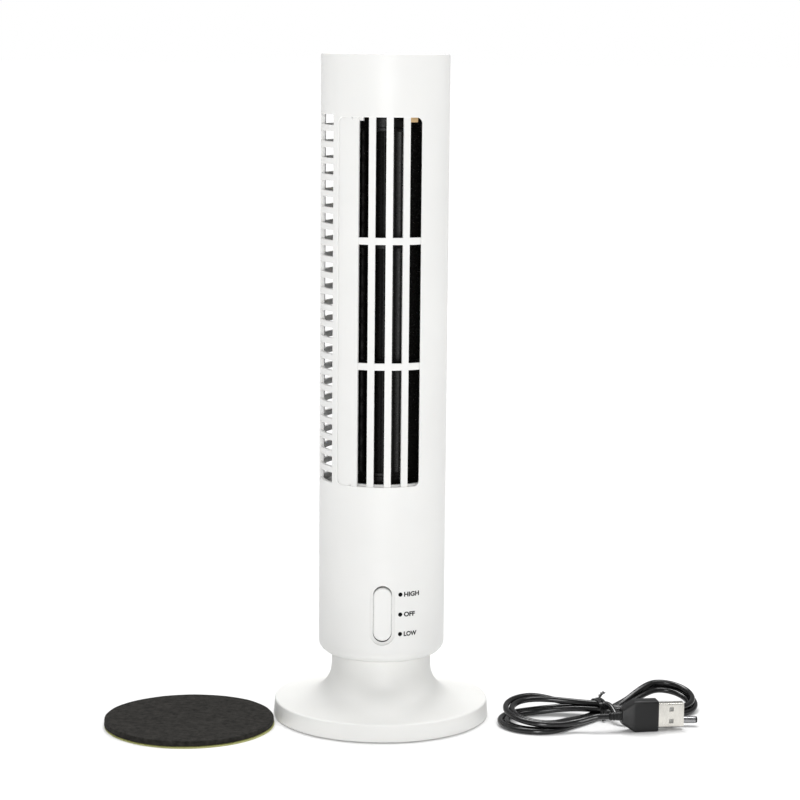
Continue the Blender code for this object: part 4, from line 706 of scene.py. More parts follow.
def frame_plate(name, field, corner, inner, outer, soft=0.0002):
    """A round-cornered plate that follows the tower, with a soft front edge."""
    left, right, low, high = field
    bm = bmesh.new()
    loft(bm, [[around(inner, angle, low + inset), around(outer - soft, angle, low + inset),
               around(outer, angle, low + inset + soft),
               around(outer, angle, high - inset - soft),
               around(outer - soft, angle, high - inset), around(inner, angle, high - inset)]
              for angle, inset in rounded_field(left, right, corner, 0.0, 8, 40)])
    return made(name, bm, white)


strip = frame_plate("grille_strip", (OUTLET[0] - 1.0, STRIP_RIGHT + 0.3, OUTLET[2] - 0.0008,
                                     OUTLET[3] + 0.0008), OUTLET_CORNER, RADIUS - 0.0022,
                    RADIUS - 0.0006)
sills = repeated(curved_bar("grille_sills", STRIP_RIGHT - 0.5, OUTLET[1] + 8.5,
                            OUTLET[2] - 0.0017, OUTLET[2] + 0.0009, GRILLE_BACK, GRILLE_FRONT,
                            0.0001, 40),
                 white, 2, (0, 0, OUTLET[3] - OUTLET[2] + 0.0019))
clip = curved_bar("grille_clip", FIRST_SLOT - 0.5, FIRST_SLOT + 3.4, OUTLET[3] - 0.0017,
                  OUTLET[3] + 0.0006, RADIUS - 0.0030, RADIUS - 0.0016, 0.0002, 4)
side_frame = curved_bar("grille_side", OUTLET[1] + 6.5, OUTLET[1] + 8.5, OUTLET[2], OUTLET[3],
                        GRILLE_BACK, GRILLE_FRONT, 0.0, 4)
print("grille has", UPRIGHTS, "uprights and", LEVELS, "levels")

# %% [markdown]
# ## Top cap
# The tower is closed by a disc that drops in until it rests on a ledge, a little below the rim.

# %% Top cap
CAP_TOP = HEIGHT - CAP_RECESS
cap_edge = INNER - GAP
top_cap = turned("cap", [(0.0, CAP_TOP)] + arc((cap_edge - 0.0005, CAP_TOP - 0.0005), 0.0005,
                                               90, 0, 4)
                 + [(cap_edge, CAP_TOP - CAP_THICK), (0.0, CAP_TOP - CAP_THICK)], white)
print("cap radius", round(cap_edge, 4))

# %% [markdown]
# ## The blower wheel
# A cross-flow wheel is a cage of thin curved blades between two discs, with a ring at each
# joint between its sections. It is black, and it is nearly all that shows through the outlet.
# One blade is lofted and the repeating tree turns it round the axis. A short black cup beyond
# each end disc closes the view past the wheel's ends: the cups are painted shade, dark sleeves
# that stand for the shadowed inside of the tower there.

# %% Blower wheel
wheel_black = moulded("wheel_plastic", (0.0035, 0.0033, 0.003), 0.30, 800.0, 0.00001,
                      specular=0.15)
WHEEL_LOW, WHEEL_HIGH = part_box("blower_wheel")[0].z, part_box("blower_wheel")[1].z
WHEEL_RADIUS, WHEEL_INNER = 0.0215, 0.0155
DISC, RING, DISC_ROUND = 0.0021, 0.0012, 0.0004
BLADES, BLADE_SWEEP, BLADE_HALF = 28, 24.0, 0.00032
# Radii and heights of the black cups, which are painted shade for the tower's dark inside.
CUP_INNER, CUP_OUTER, CUP_LOW, CUP_HIGH = 0.0196, 0.0202, 0.1204, 0.3012
blade = bmesh.new()
blade_line = []
for k in range(9):
    share = k / 8
    blade_line.append((WHEEL_INNER + 0.0003 + (WHEEL_RADIUS - WHEEL_INNER - 0.0006) * share,
                       BLADE_SWEEP * share ** 1.6))
section = []
for half, line in ((1, blade_line), (-1, reversed(blade_line))):
    for radius, degrees in line:
        section.append((radius, degrees + half * math.degrees(BLADE_HALF / radius)))
loft(blade, [[around(radius, degrees, height) for radius, degrees in section]
             for height in (WHEEL_LOW + 0.0015, WHEEL_HIGH - 0.0015)])
blades = repeated(made("wheel_blades", blade, wheel_black), wheel_black, 1, (0, 0, 0), BLADES,
                  360.0 / BLADES)
discs = bmesh.new()
for low, high, inner in ((WHEEL_LOW, WHEEL_LOW + DISC, 0.0029),
                         (WHEEL_HIGH - DISC, WHEEL_HIGH, 0.0018)):
    edge = WHEEL_RADIUS - DISC_ROUND
    turn_outline(discs, [(inner, low)] + arc((edge, low + DISC_ROUND), DISC_ROUND, -90, 0, 3)
                 + arc((edge, high - DISC_ROUND), DISC_ROUND, 0, 90, 3) + [(inner, high)], 144)
section_height = (WHEEL_HIGH - WHEEL_LOW - DISC) / 3
for number in (1, 2):
    low = WHEEL_LOW + number * section_height
    turn_outline(discs, [(WHEEL_INNER, low), (WHEEL_RADIUS + 0.0001, low),
                         (WHEEL_RADIUS + 0.0001, low + RING), (WHEEL_INNER, low + RING)], 144)
# The two black cups past the end discs: painted shade for the shadowed inside of the tower.
for low, high in ((CUP_LOW, WHEEL_LOW + 0.0001), (WHEEL_HIGH - 0.0001, CUP_HIGH)):
    turn_outline(discs, [(CUP_INNER, low), (CUP_OUTER, low), (CUP_OUTER, high),
                         (CUP_INNER, high)], 144)
wheel_discs_and_shade_cups = made("wheel_discs_and_shade_cups", discs, wheel_black)
print(BLADES, "blades between", round(WHEEL_LOW, 4), "and", round(WHEEL_HIGH, 4))

# %% [markdown]
# ## The base
# The base is a trumpet: a short neck under the tower flares out, steeply and then flat, to a
# thin rim. The flare is a superellipse, which bends hardest in the middle, as this one does.

# %% Base
BASE_RADIUS, RIM_TOP, BASE_LIFT = 0.0539, 0.0092, 0.0006
NECK, NECK_TOP = 0.0248, BOTTOM - GAP
NECK_LOW = BOTTOM - 0.0052
BASE_WALL = 0.0022
FLARE_POWER = 2.5


def flare(neck, rim, low, high, steps=64):
    share = 2 / FLARE_POWER
    points = []
    for i in range(steps + 1):
        turn = math.pi / 2 * (i / steps)
        points.append((neck + (rim - neck) * (1 - max(0.0, math.cos(turn)) ** share),
                       low + (high - low) * (1 - math.sin(turn) ** share)))
    return points


rim = BASE_RADIUS - 0.0005
base_outline = [(FLOOR_HOLE, NECK_TOP - BASE_WALL), (FLOOR_HOLE, NECK_TOP)]
base_outline += arc((NECK - 0.0003, NECK_TOP - 0.0003), 0.0003, 90, 0, 3)
base_outline += flare(NECK, rim - 0.0010, RIM_TOP, NECK_LOW)
base_outline += arc((rim - 0.0010, RIM_TOP - 0.0010), 0.0010, 90, 0, 6)[1:]
base_outline += arc((BASE_RADIUS - 0.0003, BASE_LIFT + 0.0003), 0.0003, 0, -90, 3)
base_outline += [(BASE_RADIUS - BASE_WALL, BASE_LIFT)]
base_outline += list(reversed(flare(NECK - BASE_WALL, BASE_RADIUS - BASE_WALL,
                                    RIM_TOP - BASE_WALL, NECK_LOW - 0.0011, 24)))
base_outline.append((NECK - BASE_WALL, NECK_TOP - BASE_WALL))
base = turned("base", base_outline, base_white, 224, sharp=50.0)
print("base radius", BASE_RADIUS, "with", len(base.data.polygons), "faces")

# %% [markdown]
# ## The rocker
# The rocker is a small pill-shaped cap that tips about a pin behind it. Its face is flat, with
# a soft rolled edge all round.

# %% Rocker
rocker_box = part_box("speed_rocker")
rocker_width = rocker_box[1].x - rocker_box[0].x
rocker_length = rocker_box[1].z - rocker_box[0].z
rocker_front = rocker_box[0].y
ROCKER_THICK, ROLL_DEPTH, ROLL_WIDTH = 0.0034, 0.0009, 0.0022
sections = [(rocker_front + ROCKER_THICK, rocker_width, rocker_length)]
for i in range(7):
    turn = math.pi / 2 * i / 6
    sections.append((rocker_front + ROLL_DEPTH * (1 - math.sin(turn)),
                     rocker_width - ROLL_WIDTH * (1 - math.cos(turn)),
                     rocker_length - ROLL_WIDTH * (1 - math.cos(turn))))
rocker_mesh = bmesh.new()
loft(rocker_mesh, racetrack_rings(sections))
faces = [face for face in rocker_mesh.faces if len(face.verts) > 4]
bmesh.ops.inset_region(rocker_mesh, faces=faces, thickness=0.0004, use_even_offset=True)
rocker = made("rocker", rocker_mesh, casing("rocker_plastic", (0.80, 0.80, 0.785), 0.36), 50.0)
print("rocker is", round(rocker_width * 1000, 1), "by", round(rocker_length * 1000, 1), "mm")

# %% [markdown]
# ## Switch labels
# A dot and a word beside each position of the rocker are pad-printed in black. Ink from a pad
# is only a few hundredths of a millimetre thick, so the marks stand barely proud of the skin
# and are bent round it.

# %% Labels
ink = moulded("label_ink", (0.002, 0.002, 0.002), 0.55, 2400.0, 0.000004, specular=0.10)


INK_HALF = 0.00001                     # half the ink's thickness while it is flat
INK_PROUD, INK_DEEP = 0.00004, 0.00008      # how far it stands out of the skin and goes in
CAPITAL, DOT_RADIUS = 0.0024, 0.00105
WORD_ANGLE, DOT_ANGLE = 19.6, 16.1


def on_the_skin(name, flat, first_angle, height):
    """Bend a flat mesh round the tower: x runs round it, y runs up, z stands out."""
    for vertex in flat.vertices:
        x, y, z = vertex.co
        vertex.co = around(RADIUS + max(z, 0.0) + (INK_PROUD if z > 0 else -INK_DEEP),
                           first_angle + math.degrees(x / RADIUS), height + y)
    bm = bmesh.new()
    bm.from_mesh(flat)
    bmesh.ops.remove_doubles(bm, verts=bm.verts, dist=0.0000005)
    return made(name, bm, ink)


def word(name, text, length, cap, first_angle, height):
    """A generic control word, sized by its real length and its capital height."""
    letters = bpy.data.curves.new(name, "FONT")
    letters.body = text
    letters.size = 1.0
    letters.resolution_u = 8
    letters.extrude = INK_HALF
    letters.offset = 0.036
    holder = bpy.data.objects.new(name, letters)
    scene.collection.objects.link(holder)
    bpy.context.view_layer.update()
    flat = bpy.data.meshes.new_from_object(
        holder.evaluated_get(bpy.context.evaluated_depsgraph_get()))
    bpy.data.objects.remove(holder, do_unlink=True)
    xs = [vertex.co.x for vertex in flat.vertices]
    ys = [vertex.co.y for vertex in flat.vertices]
    for vertex in flat.vertices:
        vertex.co.x = (vertex.co.x - min(xs)) / (max(xs) - min(xs)) * length
        vertex.co.y = ((vertex.co.y - min(ys)) / (max(ys) - min(ys)) - 0.5) * cap
    return on_the_skin(name, flat, first_angle, height)


def dot(name, radius, angle, height):
    bm = bmesh.new()
    loft(bm, [[Vector((x, y, z)) for x, y in circle(radius, 48)]
              for z in (-INK_HALF, INK_HALF)])
    flat = bpy.data.meshes.new(name)
    bm.to_mesh(flat)
    bm.free()
    return on_the_skin(name, flat, angle, height)


labels = []
for text, length, height in (("HIGH", 0.0083, 0.0683), ("OFF", 0.0060, 0.0583),
                             ("LOW", 0.0070, 0.0485)):
    labels.append(word("label_" + text.lower(), text, length, CAPITAL, WORD_ANGLE, height))
    labels.append(dot("dot_" + text.lower(), DOT_RADIUS, DOT_ANGLE, height))
print("labels:", [label.name for label in labels])

# %% [markdown]
# ## Foam foot and its liner
# A die-cut disc of black sponge rubber sticks under the base. It is sold loose, on a
# yellow-green release paper. Sponge has open cells of half a millimetre, seen as fine pits,
# and the cutting die leaves its edge a little wavy.

# %% Foam pad and liner
foam_black, foam_tree, foam_shader = fresh_material("pad_foam")
place = foam_tree.nodes.new("ShaderNodeTexCoord").outputs["Object"]
cells = foam_tree.nodes.new("ShaderNodeTexVoronoi")
settle(cells, {"Scale": 2100.0})
foam_tree.links.new(place, cells.inputs["Vector"])
mottle = noise_node(foam_tree, 420.0, 5.0, place)
tint = shades(foam_tree, spread(foam_tree, mottle, 0.0, 1.0), (0.0100, 0.0094, 0.0082),
              (0.031, 0.029, 0.026))
foam_tree.links.new(tint, foam_shader.inputs["Base Color"])
pits = bump(foam_tree, cells.outputs["Distance"], 0.00022, 0.9)
foam_tree.links.new(bump(foam_tree, mottle, 0.0002, 0.5, pits), foam_shader.inputs["Normal"])
settle(foam_shader, {"Roughness": 0.92, "Specular IOR Level": 0.12, "Sheen Weight": 0.02,
                     "Sheen Roughness": 0.5})

liner_paper, liner_tree, liner_shader = fresh_material("liner_paper")
fibre = noise_node(liner_tree, 900.0, 6.0)
liner_tree.links.new(shades(liner_tree, fibre, (0.32, 0.33, 0.10), (0.42, 0.42, 0.16)),
                     liner_shader.inputs["Base Color"])
liner_tree.links.new(bump(liner_tree, fibre, 0.00003, 0.6), liner_shader.inputs["Normal"])
settle(liner_shader, {"Roughness": 0.48})

PAD_PLACE, PAD_RADIUS = Vector((-0.0955, -0.0201, 0.0)), 0.0420
PAD_LOW, PAD_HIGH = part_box("foam_pad")[0].z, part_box("foam_pad")[1].z


def wavy_disc(bm, place, profile, sides, wave):
    """A disc whose radius wanders a little round its edge; profile is (radius, height)."""
    rings = []
    for radius, height in profile:
        ring = []
        for i in range(sides):
            turn = 2 * math.pi * i / sides
            wander = wave * (0.5 * math.sin(3 * turn + 0.7) + 0.3 * math.sin(7 * turn + 2.1)
                             + 0.2 * math.sin(17 * turn)) * min(1.0, radius / PAD_RADIUS) ** 4
            lift = 0.00022 * math.sin(2 * turn + 0.4) * (radius / PAD_RADIUS) ** 2
            top = lift if height > PAD_LOW + 0.0012 else 0.0
            ring.append(place + Vector(((radius + wander) * math.cos(turn),
                                        (radius + wander) * math.sin(turn), height + top)))
        rings.append(ring)
    loft(bm, rings)


profile = [(0.0040, PAD_LOW)] + [(PAD_RADIUS * share, PAD_LOW) for share in (0.5, 0.9)]
profile += arc((PAD_RADIUS - 0.0004, PAD_LOW + 0.0004), 0.0004, -90, 0, 3)
profile += [(PAD_RADIUS - 0.00012, (PAD_LOW + PAD_HIGH) / 2)]
profile += arc((PAD_RADIUS - 0.0007, PAD_HIGH - 0.0008), 0.0006, 0, 90, 5)
profile += [(PAD_RADIUS * share, PAD_HIGH - 0.0002) for share in (0.93, 0.8, 0.6, 0.4, 0.2)]
profile += [(0.0040, PAD_HIGH - 0.0002)]
pad_mesh = bmesh.new()
wavy_disc(pad_mesh, PAD_PLACE, profile, 160, 0.00035)
pad = made("foot_pad", pad_mesh, foam_black, 60.0)
LINER_LOW, LINER_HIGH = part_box("pad_liner")[0].z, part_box("pad_liner")[1].z
liner_mesh = bmesh.new()
wavy_disc(liner_mesh, PAD_PLACE + Vector((0.0004, -0.0006, 0.0)),
          [(0.0030, LINER_LOW), (0.0418, LINER_LOW), (0.0420, LINER_LOW + 0.00015),
           (0.0420, LINER_HIGH - 0.00015), (0.0418, LINER_HIGH), (0.0030, LINER_HIGH)],
          160, 0.0001)
liner = made("pad_liner_paper", liner_mesh, liner_paper)
print("pad", round((PAD_HIGH - PAD_LOW) * 1000, 1), "mm thick on its liner")

# %% [markdown]
# ## USB plug
# The lead's far end has a flat USB plug, overmoulded in black vinyl, lying on its edge. The
# metal shell is rolled from plated sheet, with two square windows in each face where the
# socket's springs catch. A ribbed relief keeps the cord from breaking where it enters.

# %% USB plug
plug_black = moulded("plug_vinyl", (0.004, 0.004, 0.0042), 0.38, 1500.0, specular=0.35)
nickel = bare_metal("plug_nickel", (0.74, 0.72, 0.67), 0.22)
tongue_white = moulded("tongue_plastic", (0.62, 0.62, 0.60), 0.45)
usb_place = (Matrix.Translation(USB_ENTRY) @ Matrix.Rotation(USB_TURN, 4, "Z"))


def rounded(half_y, half_z, corner, steps=6):
    """A rounded rectangle in Y and Z, as points in order."""
    corner = min(corner, half_y * 0.98, half_z * 0.98)
    points = []
    for quarter, (side_y, side_z) in enumerate(((1, 1), (-1, 1), (-1, -1), (1, -1))):
        for i in range(steps + 1):
            turn = math.pi / 2 * (quarter + i / steps)
            points.append((side_y * (half_y - corner) + corner * math.cos(turn),
                           side_z * (half_z - corner) + corner * math.sin(turn)))
    return points


def along_x(sections, steps=6):
    """Rings along X from (x, half_y, half_z, corner)."""
    return [[Vector((x, y, z)) for y, z in rounded(half_y, half_z, corner, steps)]
            for x, half_y, half_z, corner in sections]


def placed(name, bm, material, where, sharp=SHARP):
    bm.transform(where)
    return made(name, bm, material, sharp)


body = bmesh.new()
loft(body, along_x([(0.0060, 0.0024, 0.0032, 0.0014), (0.0062, 0.0028, 0.0038, 0.0014),
                    (0.0080, 0.0031, 0.0049, 0.0014), (0.0100, 0.0034, 0.0062, 0.0013),
                    (0.0118, 0.0037, 0.0074, 0.0013), (0.0126, 0.0037, 0.0078, 0.0012),
                    (0.0180, 0.0037, 0.0078, 0.0012), (0.0236, 0.0037, 0.0078, 0.0012),
                    (0.0241, 0.0036, 0.0077, 0.0012), (0.0244, 0.0033, 0.0074, 0.0011)]))
usb_body = placed("usb_overmould", body, plug_black, usb_place)

relief = bmesh.new()
loft(relief, along_x([(0.0002, 0.0017, 0.0017, 0.0016), (0.0005, 0.0021, 0.0021, 0.0020),
                      (0.0011, 0.0021, 0.0021, 0.0020), (0.0014, 0.0017, 0.0017, 0.0016)]))
usb_relief = repeated(made("usb_relief", relief, plug_black), plug_black, 4, (0.0015, 0, 0))
usb_relief.data.transform(usb_place)
core = bmesh.new()
loft(core, along_x([(0.0, 0.00172, 0.00172, 0.0016), (0.0062, 0.0020, 0.0022, 0.0018)]))
usb_core = placed("usb_relief_core", core, plug_black, usb_place)

shell = bmesh.new()
outside = rounded(0.00225, 0.0060, 0.0006)
inside = rounded(0.00185, 0.0056, 0.0003)
lip = 0.00012
SHELL_BACK, SHELL_END, WINDOW_PLACE = 0.0240, 0.0375, 0.0311
loft(shell, [[Vector((x, y * grow_y, z * grow_z)) for y, z in points]
             for x, points, grow_y, grow_z in (
                 (SHELL_BACK, outside, 1, 1), (SHELL_END - lip, outside, 1, 1),
                 (SHELL_END, outside, 0.965, 0.985), (SHELL_END, inside, 1, 1),
                 (SHELL_BACK, inside, 1, 1))], closed=True)
usb_shell = made("usb_shell", shell, nickel)
windows = []
for height in (-0.0030, 0.0030):
    window = bmesh.new()
    loft(window, [[Vector((WINDOW_PLACE + x, y, height + z))
                   for x, z in rounded(0.0011, 0.0011, 0.0002, 3)] for y in (-0.004, 0.004)])
    windows.append(made("window_cutter", window, None))
cut(usb_shell, *windows)
usb_shell.data.transform(usb_place)

tongue = bmesh.new()
loft(tongue, along_x([(0.0236, 0.0009, 0.0054, 0.0002), (0.0366, 0.0009, 0.0054, 0.0002),
                      (0.0369, 0.0007, 0.0052, 0.0002)], 3))
bmesh.ops.translate(tongue, verts=tongue.verts, vec=(0, 0.0008, 0))
usb_tongue = placed("usb_insulator", tongue, tongue_white, usb_place)
pads = bmesh.new()
loft(pads, along_x([(0.0300, 0.00012, 0.0005, 0.0001), (0.0362, 0.00012, 0.0005, 0.0001)], 3))
bmesh.ops.translate(pads, verts=pads.verts, vec=(0, 0.00168, -0.0036))
gold = bare_metal("contact_gold", (0.80, 0.58, 0.24), 0.22)
usb_contacts = repeated(made("usb_contacts", pads, gold), gold, 4, (0, 0, 0.0024))
usb_contacts.data.transform(usb_place)
print("USB plug has", len(usb_shell.data.polygons), "faces in its shell")

# %% [markdown]
# ## Power plug for the fan
# The other end is a round barrel plug with a moulded grip, a plated sleeve and a black tip.

# %% Barrel plug
dc_place = Matrix.Translation(DC_ENTRY)


DC_LENGTH = 0.0298


def turned_x(profile, closed=False):
    """An outline of place and radius, carried round the X axis."""
    bm = bmesh.new()
    loft(bm, [[Vector((x, y, z)) for y, z in circle(radius, 48)] for x, radius in profile],
         closed)
    return bm


grip = turned_x([(0.0050, 0.0019), (0.0052, 0.0026), (0.0058, 0.0031), (0.0066, 0.0033),
                 (0.0178, 0.0033), (0.0183, 0.0031), (0.0185, 0.0027)])
dc_grip = placed("dc_grip", grip, plug_black, dc_place)
rib = turned_x([(0.0002, 0.0017), (0.0004, 0.0021), (0.0009, 0.0021), (0.0011, 0.0017)])
dc_relief = repeated(made("dc_relief", rib, plug_black), plug_black, 4, (0.0012, 0, 0))
dc_relief.data.transform(dc_place)
dc_core = placed("dc_relief_core", turned_x([(0.0, 0.00170), (0.0052, 0.00185)]), plug_black,
                 dc_place)
# The sleeve's nickel is painted darker than the USB shell's. This is painted shade, standing for
# the dark surroundings mirrored in its bright plating.
nickel_with_painted_shade = bare_metal("nickel_with_painted_shade", (0.36, 0.36, 0.37), 0.22)
sleeve = turned_x([(0.0182, 0.00175), (0.0287, 0.00175), (0.0289, 0.00165), (0.0289, 0.00120),
                   (0.0182, 0.00120)], closed=True)
dc_sleeve = placed("dc_sleeve", sleeve, nickel_with_painted_shade, dc_place)
tip = turned_x([(0.0260, 0.00120), (0.0288, 0.00120), (0.0288, 0.00165), (0.0294, 0.00165),
                (DC_LENGTH, 0.00135), (DC_LENGTH, 0.00085), (0.0294, 0.00070),
                (0.0260, 0.00070)], closed=True)
dc_tip = placed("dc_tip", tip, plug_black, dc_place)
print("barrel plug is", round(DC_LENGTH * 1000, 1), "mm long with its relief")

# %% [markdown]
# ## Twist tie
# A flat vinyl tie with a wire core is wrapped round the crossing and twisted shut. Its two
# ends stand off: one makes a small loop above the hank and one a short tail in front.

# %% Twist tie
tie_black = moulded("tie_vinyl", (0.004, 0.004, 0.0045), 0.24, 700.0, 0.00001)
tie_turn = math.atan2(ALONG.y, ALONG.x)
tie_place = Matrix.Translation((TIE_PLACE.x, TIE_PLACE.y, 0)) @ Matrix.Rotation(tie_turn, 4, "Z")


def band(bm, half_along, half_across, low, high, thick, shift=0.0, sides=56):
    """A strap round the strands: a superellipse swept a little along the hank."""
    middle, tall = (low + high) / 2, (high - low) / 2

    def squared(share):
        return math.copysign(abs(share) ** 0.72, share)

    def loop(x, grow):
        return [Vector((shift + x, (half_across + grow) * squared(across),
                        middle + (tall + grow) * squared(up))) for across, up in circle(1, sides)]

    loft(bm, [loop(half_along * share, grow) for share, grow in (
        (-1, 0.0), (-0.86, thick), (0.86, thick), (1, 0.0), (0.9, -0.0001), (-0.9, -0.0001))],
         closed=True)


strap = bmesh.new()
band(strap, 0.0009, 0.0052, 0.0005, 0.0090, 0.0004, -0.0014)
band(strap, 0.0009, 0.0053, 0.0005, 0.0092, 0.0004, 0.0006)
tie_band = placed("tie_band", strap, tie_black, tie_place)


TIE_WIDE, TIE_THICK, TWIST_TURNS, TWIST_RADIUS = 0.00050, 0.00030, 1.5, 0.00045


def twisted(name, start, end, bulge):
    """Two strands twisted round each other along an arched line."""
    bm = bmesh.new()
    start, end = Vector(start), Vector(end)
    heading = (end - start).normalized()
    side = heading.cross(Vector((0, 0, 1))).normalized()
    up = side.cross(heading)
    steps = 44
    for phase in (0.0, math.pi):
        line = []
        for i in range(steps + 1):
            share = i / steps
            turn = phase + 2 * math.pi * TWIST_TURNS * share
            line.append(start + (end - start) * share + up * (bulge * math.sin(math.pi * share))
                        + side * (TWIST_RADIUS * math.cos(turn))
                        + up * (TWIST_RADIUS * math.sin(turn)))
        rings = []
        for i, point in enumerate(line):
            direction = (line[min(i + 1, steps)] - line[max(i - 1, 0)]).normalized()
            first = direction.cross(up).normalized()
            second = direction.cross(first)
            rings.append([point + first * (TIE_WIDE * across) + second * (TIE_THICK * up)
                          for across, up in circle(1, 10)])
        loft(bm, rings)
    return placed(name, bm, tie_black, tie_place, 60.0)


tie_loop = twisted("tie_loop", (0.0004, 0.0015, 0.0092), (0.0058, 0.0060, 0.0106), 0.0008)
tie_tail = twisted("tie_tail", (-0.0012, -0.0052, 0.0030), (-0.0026, -0.0100, 0.0010), 0.0006)
print("tie at", [round(value, 4) for value in TIE_PLACE])

# %% [markdown]
# ## Inner parts
# The motor, bearing, switch, wires and screws are mostly hidden. They keep the shapes of the
# mechanical model and get finishes of their own: zinc-plated steel for screws, drawn steel for
# the motor can, sintered bronze for the bush, tinned brass for terminals.

# %% Finishes for the parts of the mechanical model
inner_plastic = moulded("inner_plastic", (0.58, 0.58, 0.57), 0.50)
seal_foam = moulded("seal_foam", (0.66, 0.46, 0.24), 0.90, 1500.0, 0.0001)
soft_rubber = moulded("soft_rubber", (0.030, 0.030, 0.031), 0.75)
switch_black = moulded("black_plastic", (0.020, 0.020, 0.021), 0.40)
zinc = bare_metal("screw_steel", (0.60, 0.61, 0.63), 0.28)
drawn_steel = bare_metal("motor_steel", (0.55, 0.55, 0.56), 0.32)
bronze = bare_metal("bush_bronze", (0.52, 0.34, 0.18), 0.38)
tin = bare_metal("terminal_tin", (0.74, 0.73, 0.70), 0.30)
enamel = moulded("resistor_enamel", (0.10, 0.24, 0.13), 0.30, 900.0, 0.00001, 0.4)
red = moulded("wire_red", (0.52, 0.02, 0.02), 0.40)
yellow = moulded("wire_yellow", (0.70, 0.50, 0.03), 0.40)
wire_black = moulded("wire_black", (0.015, 0.015, 0.016), 0.40)
FINISHES = {
    "base_plate": base_white, "motor_mount": inner_plastic, "bearing_bracket": inner_plastic,
    "foam_seal": seal_foam, "bearing_rubber": soft_rubber, "wheel_coupler": soft_rubber,
    "dc_jack": switch_black, "switch_housing": switch_black, "motor_end_bell": inner_plastic,
    "motor_can": drawn_steel, "motor_shaft": drawn_steel, "wheel_axle": drawn_steel,
    "rocker_pivot_pin": drawn_steel, "bearing_bush": bronze, "jack_pin": nickel,
    "speed_resistor": enamel, "wire_high": red, "wire_low": yellow, "wire_resistor": yellow,
    "wire_return": wire_black, "wire_supply": red,
}
named = {"base_screw": zinc, "neck_screw": zinc, "shell_screw": zinc, "motor_screw": zinc,
         "motor_terminal": tin, "switch_terminal": tin}
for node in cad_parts:
    for start, material in named.items():
        if node.startswith(start):
            FINISHES[node] = material
for node, material in FINISHES.items():
    mesh = bpy.data.objects[node].data
    for index in range(len(mesh.materials)):
        mesh.materials[index] = material
    if not mesh.materials:
        mesh.materials.append(material)
print(len(FINISHES), "parts have their finishes")

# %% [markdown]
# ## What moves with what
# Every piece rides on a body of the mechanical model, and stands for the part that it hides.

# %% Pieces on their bodies
RIDES = {
    "tower": [(front_shell, "white_plastic", ["front_shell"]), (side_slats, "white_plastic", []),
              (rear_shell, "white_plastic", ["rear_shell"]), (rear_slats, "white_plastic", []),
              (screw_wells, "white_plastic", []), (uprights, "white_plastic", ["outlet_grille"]),
              (levels, "white_plastic", []), (strip, "white_plastic", []),
              (clip, "white_plastic", []),
              (sills, "white_plastic", []), (side_frame, "white_plastic", []),
              (top_cap, "white_plastic", ["top_cap"]), (base, "white_plastic", ["base_shell"])]
    + [(label, "black_plastic", []) for label in labels],
    "blower": [(blades, "wheel_plastic", ["blower_wheel"]), (wheel_discs_and_shade_cups, "wheel_plastic", [])],
    "rocker": [(rocker, "white_plastic", ["speed_rocker"])],
    "lead": [(lead, "cord_vinyl", ["lead_hank", "lead_tail_usb", "lead_tail_dc"]),
             (usb_body, "cord_vinyl", ["usb_plug_body"]), (usb_relief, "cord_vinyl", []),
             (usb_core, "cord_vinyl", []), (usb_shell, "plug_nickel", ["usb_plug_shell"]),
             (usb_tongue, "tongue_plastic", ["usb_tongue"]), (usb_contacts, "plug_nickel", []),
             (dc_grip, "cord_vinyl", ["dc_plug_body"]), (dc_relief, "cord_vinyl", []),
             (dc_core, "cord_vinyl", []), (dc_sleeve, "plug_nickel", ["dc_plug_barrel"]),
             (dc_tip, "black_plastic", ["dc_plug_tip"]), (tie_band, "cord_vinyl", ["twist_tie"]),
             (tie_loop, "cord_vinyl", []), (tie_tail, "cord_vinyl", [])],
    "pad": [(pad, "pad_foam", ["foam_pad"]), (liner, "liner_paper", ["pad_liner"])],
}
for body_name, rows in RIDES.items():
    for piece, slot_name, nodes in rows:
        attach(piece, body_name)
        if nodes:
            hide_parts(*nodes)
print({body_name: len(rows) for body_name, rows in RIDES.items()})

# %% [markdown]
# ## Stage and light
# The fan stands on a wide, pale, slightly glossy floor, which glows faintly, and more with
# distance, so that it meets the white surround without an edge. The light is that of a small
# product studio: a tall soft box in front, one high up behind, and a high fill at each side.

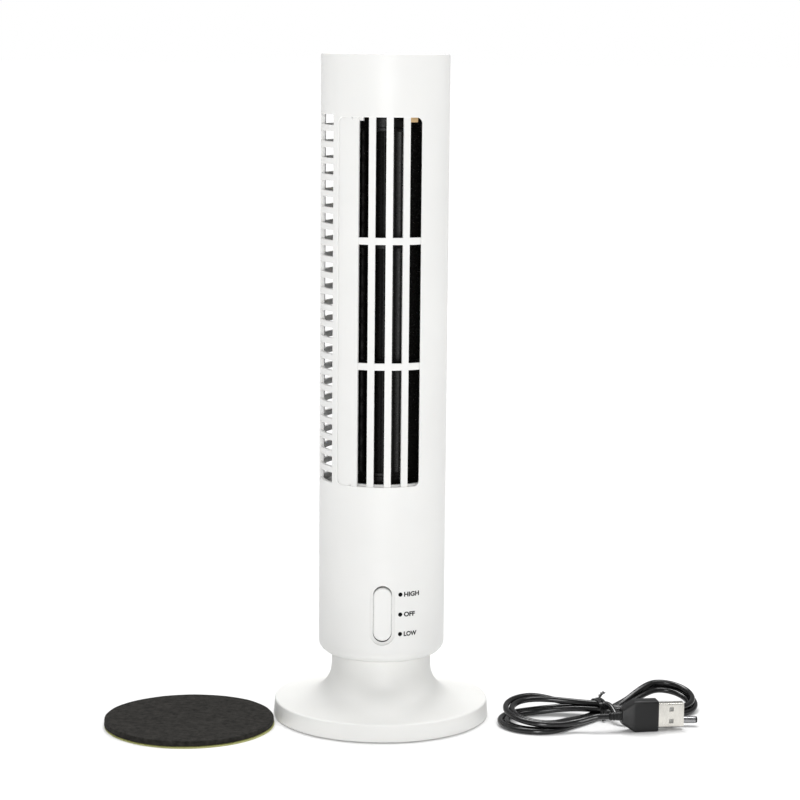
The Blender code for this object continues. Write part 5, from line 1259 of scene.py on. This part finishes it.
# %% Floor
PURE_WHITE = (1.0, 1.0, 1.0, 1.0)
floor_bm = bmesh.new()
loft(floor_bm, [[Vector((x, y, z)) for x, y in ((-20, -6), (20, -6), (20, 45), (-20, 45))]
                for z in (-0.002, 0.0)])
floor_white, floor_tree, floor_shader = fresh_material("floor")
floor_place = floor_tree.nodes.new("ShaderNodeTexCoord").outputs["Object"]
floor_noise = noise_node(floor_tree, 3.0, 2.0, floor_place)
floor_tree.links.new(shades(floor_tree, floor_noise, (0.93, 0.93, 0.93), (0.95, 0.95, 0.95)),
                     floor_shader.inputs["Base Color"])
reach = floor_tree.nodes.new("ShaderNodeVectorMath")
reach.operation = "LENGTH"
floor_tree.links.new(floor_place, reach.inputs[0])
glow = floor_tree.nodes.new("ShaderNodeMapRange")
settle(glow, {"From Min": 0.40, "From Max": 1.80, "To Min": 0.06, "To Max": 0.70})
floor_tree.links.new(reach.outputs["Value"], glow.inputs["Value"])
floor_tree.links.new(glow.outputs["Result"], floor_shader.inputs["Emission Strength"])
settle(floor_shader, {"Emission Color": PURE_WHITE, "Roughness": 0.16,
                      "Specular IOR Level": 0.45})
floor = made("floor", floor_bm, floor_white)
print("floor is laid")

# %% Lights
def soft_box(name, place, target, size, power, tall=None):
    light = bpy.data.lights.new(name, "AREA")
    light.shape = "RECTANGLE"
    light.size = size
    light.size_y = tall or size
    light.energy = power
    lamp = bpy.data.objects.new(name, light)
    lamp.location = place
    lamp.rotation_euler = (Vector(target) - Vector(place)).to_track_quat("-Z", "Y").to_euler()
    scene.collection.objects.link(lamp)
    return lamp


world = bpy.data.worlds.new("studio")
scene.world = world
world.use_nodes = True
sky = world.node_tree
settle(sky.nodes["Background"], {"Color": PURE_WHITE, "Strength": 0.35})
seen = sky.nodes.new("ShaderNodeBackground")
settle(seen, {"Color": PURE_WHITE, "Strength": 1.0})
rays = sky.nodes.new("ShaderNodeLightPath")
mix = sky.nodes.new("ShaderNodeMixShader")
sky.links.new(rays.outputs["Is Camera Ray"], mix.inputs["Fac"])
sky.links.new(sky.nodes["Background"].outputs["Background"], mix.inputs[1])
sky.links.new(seen.outputs["Background"], mix.inputs[2])
sky.links.new(mix.outputs["Shader"], sky.nodes["World Output"].inputs["Surface"])
soft_box("key", (0.02, -1.55, 0.40), (0, 0, 0.17), 0.5, 9.8, tall=0.8)
soft_box("top", (0.0, 0.52, 1.50), (0, 0, 0.05), 0.6, 15.0)
soft_box("right_fill", (0.66, 0.05, 1.38), (0, 0, 0.04), 0.6, 6.5)
soft_box("left_fill", (-0.66, 0.05, 1.38), (0, 0, 0.04), 0.6, 6.0)
scene.view_settings.view_transform = "Standard"
scene.view_settings.look = "None"
scene.view_settings.exposure = 0.0
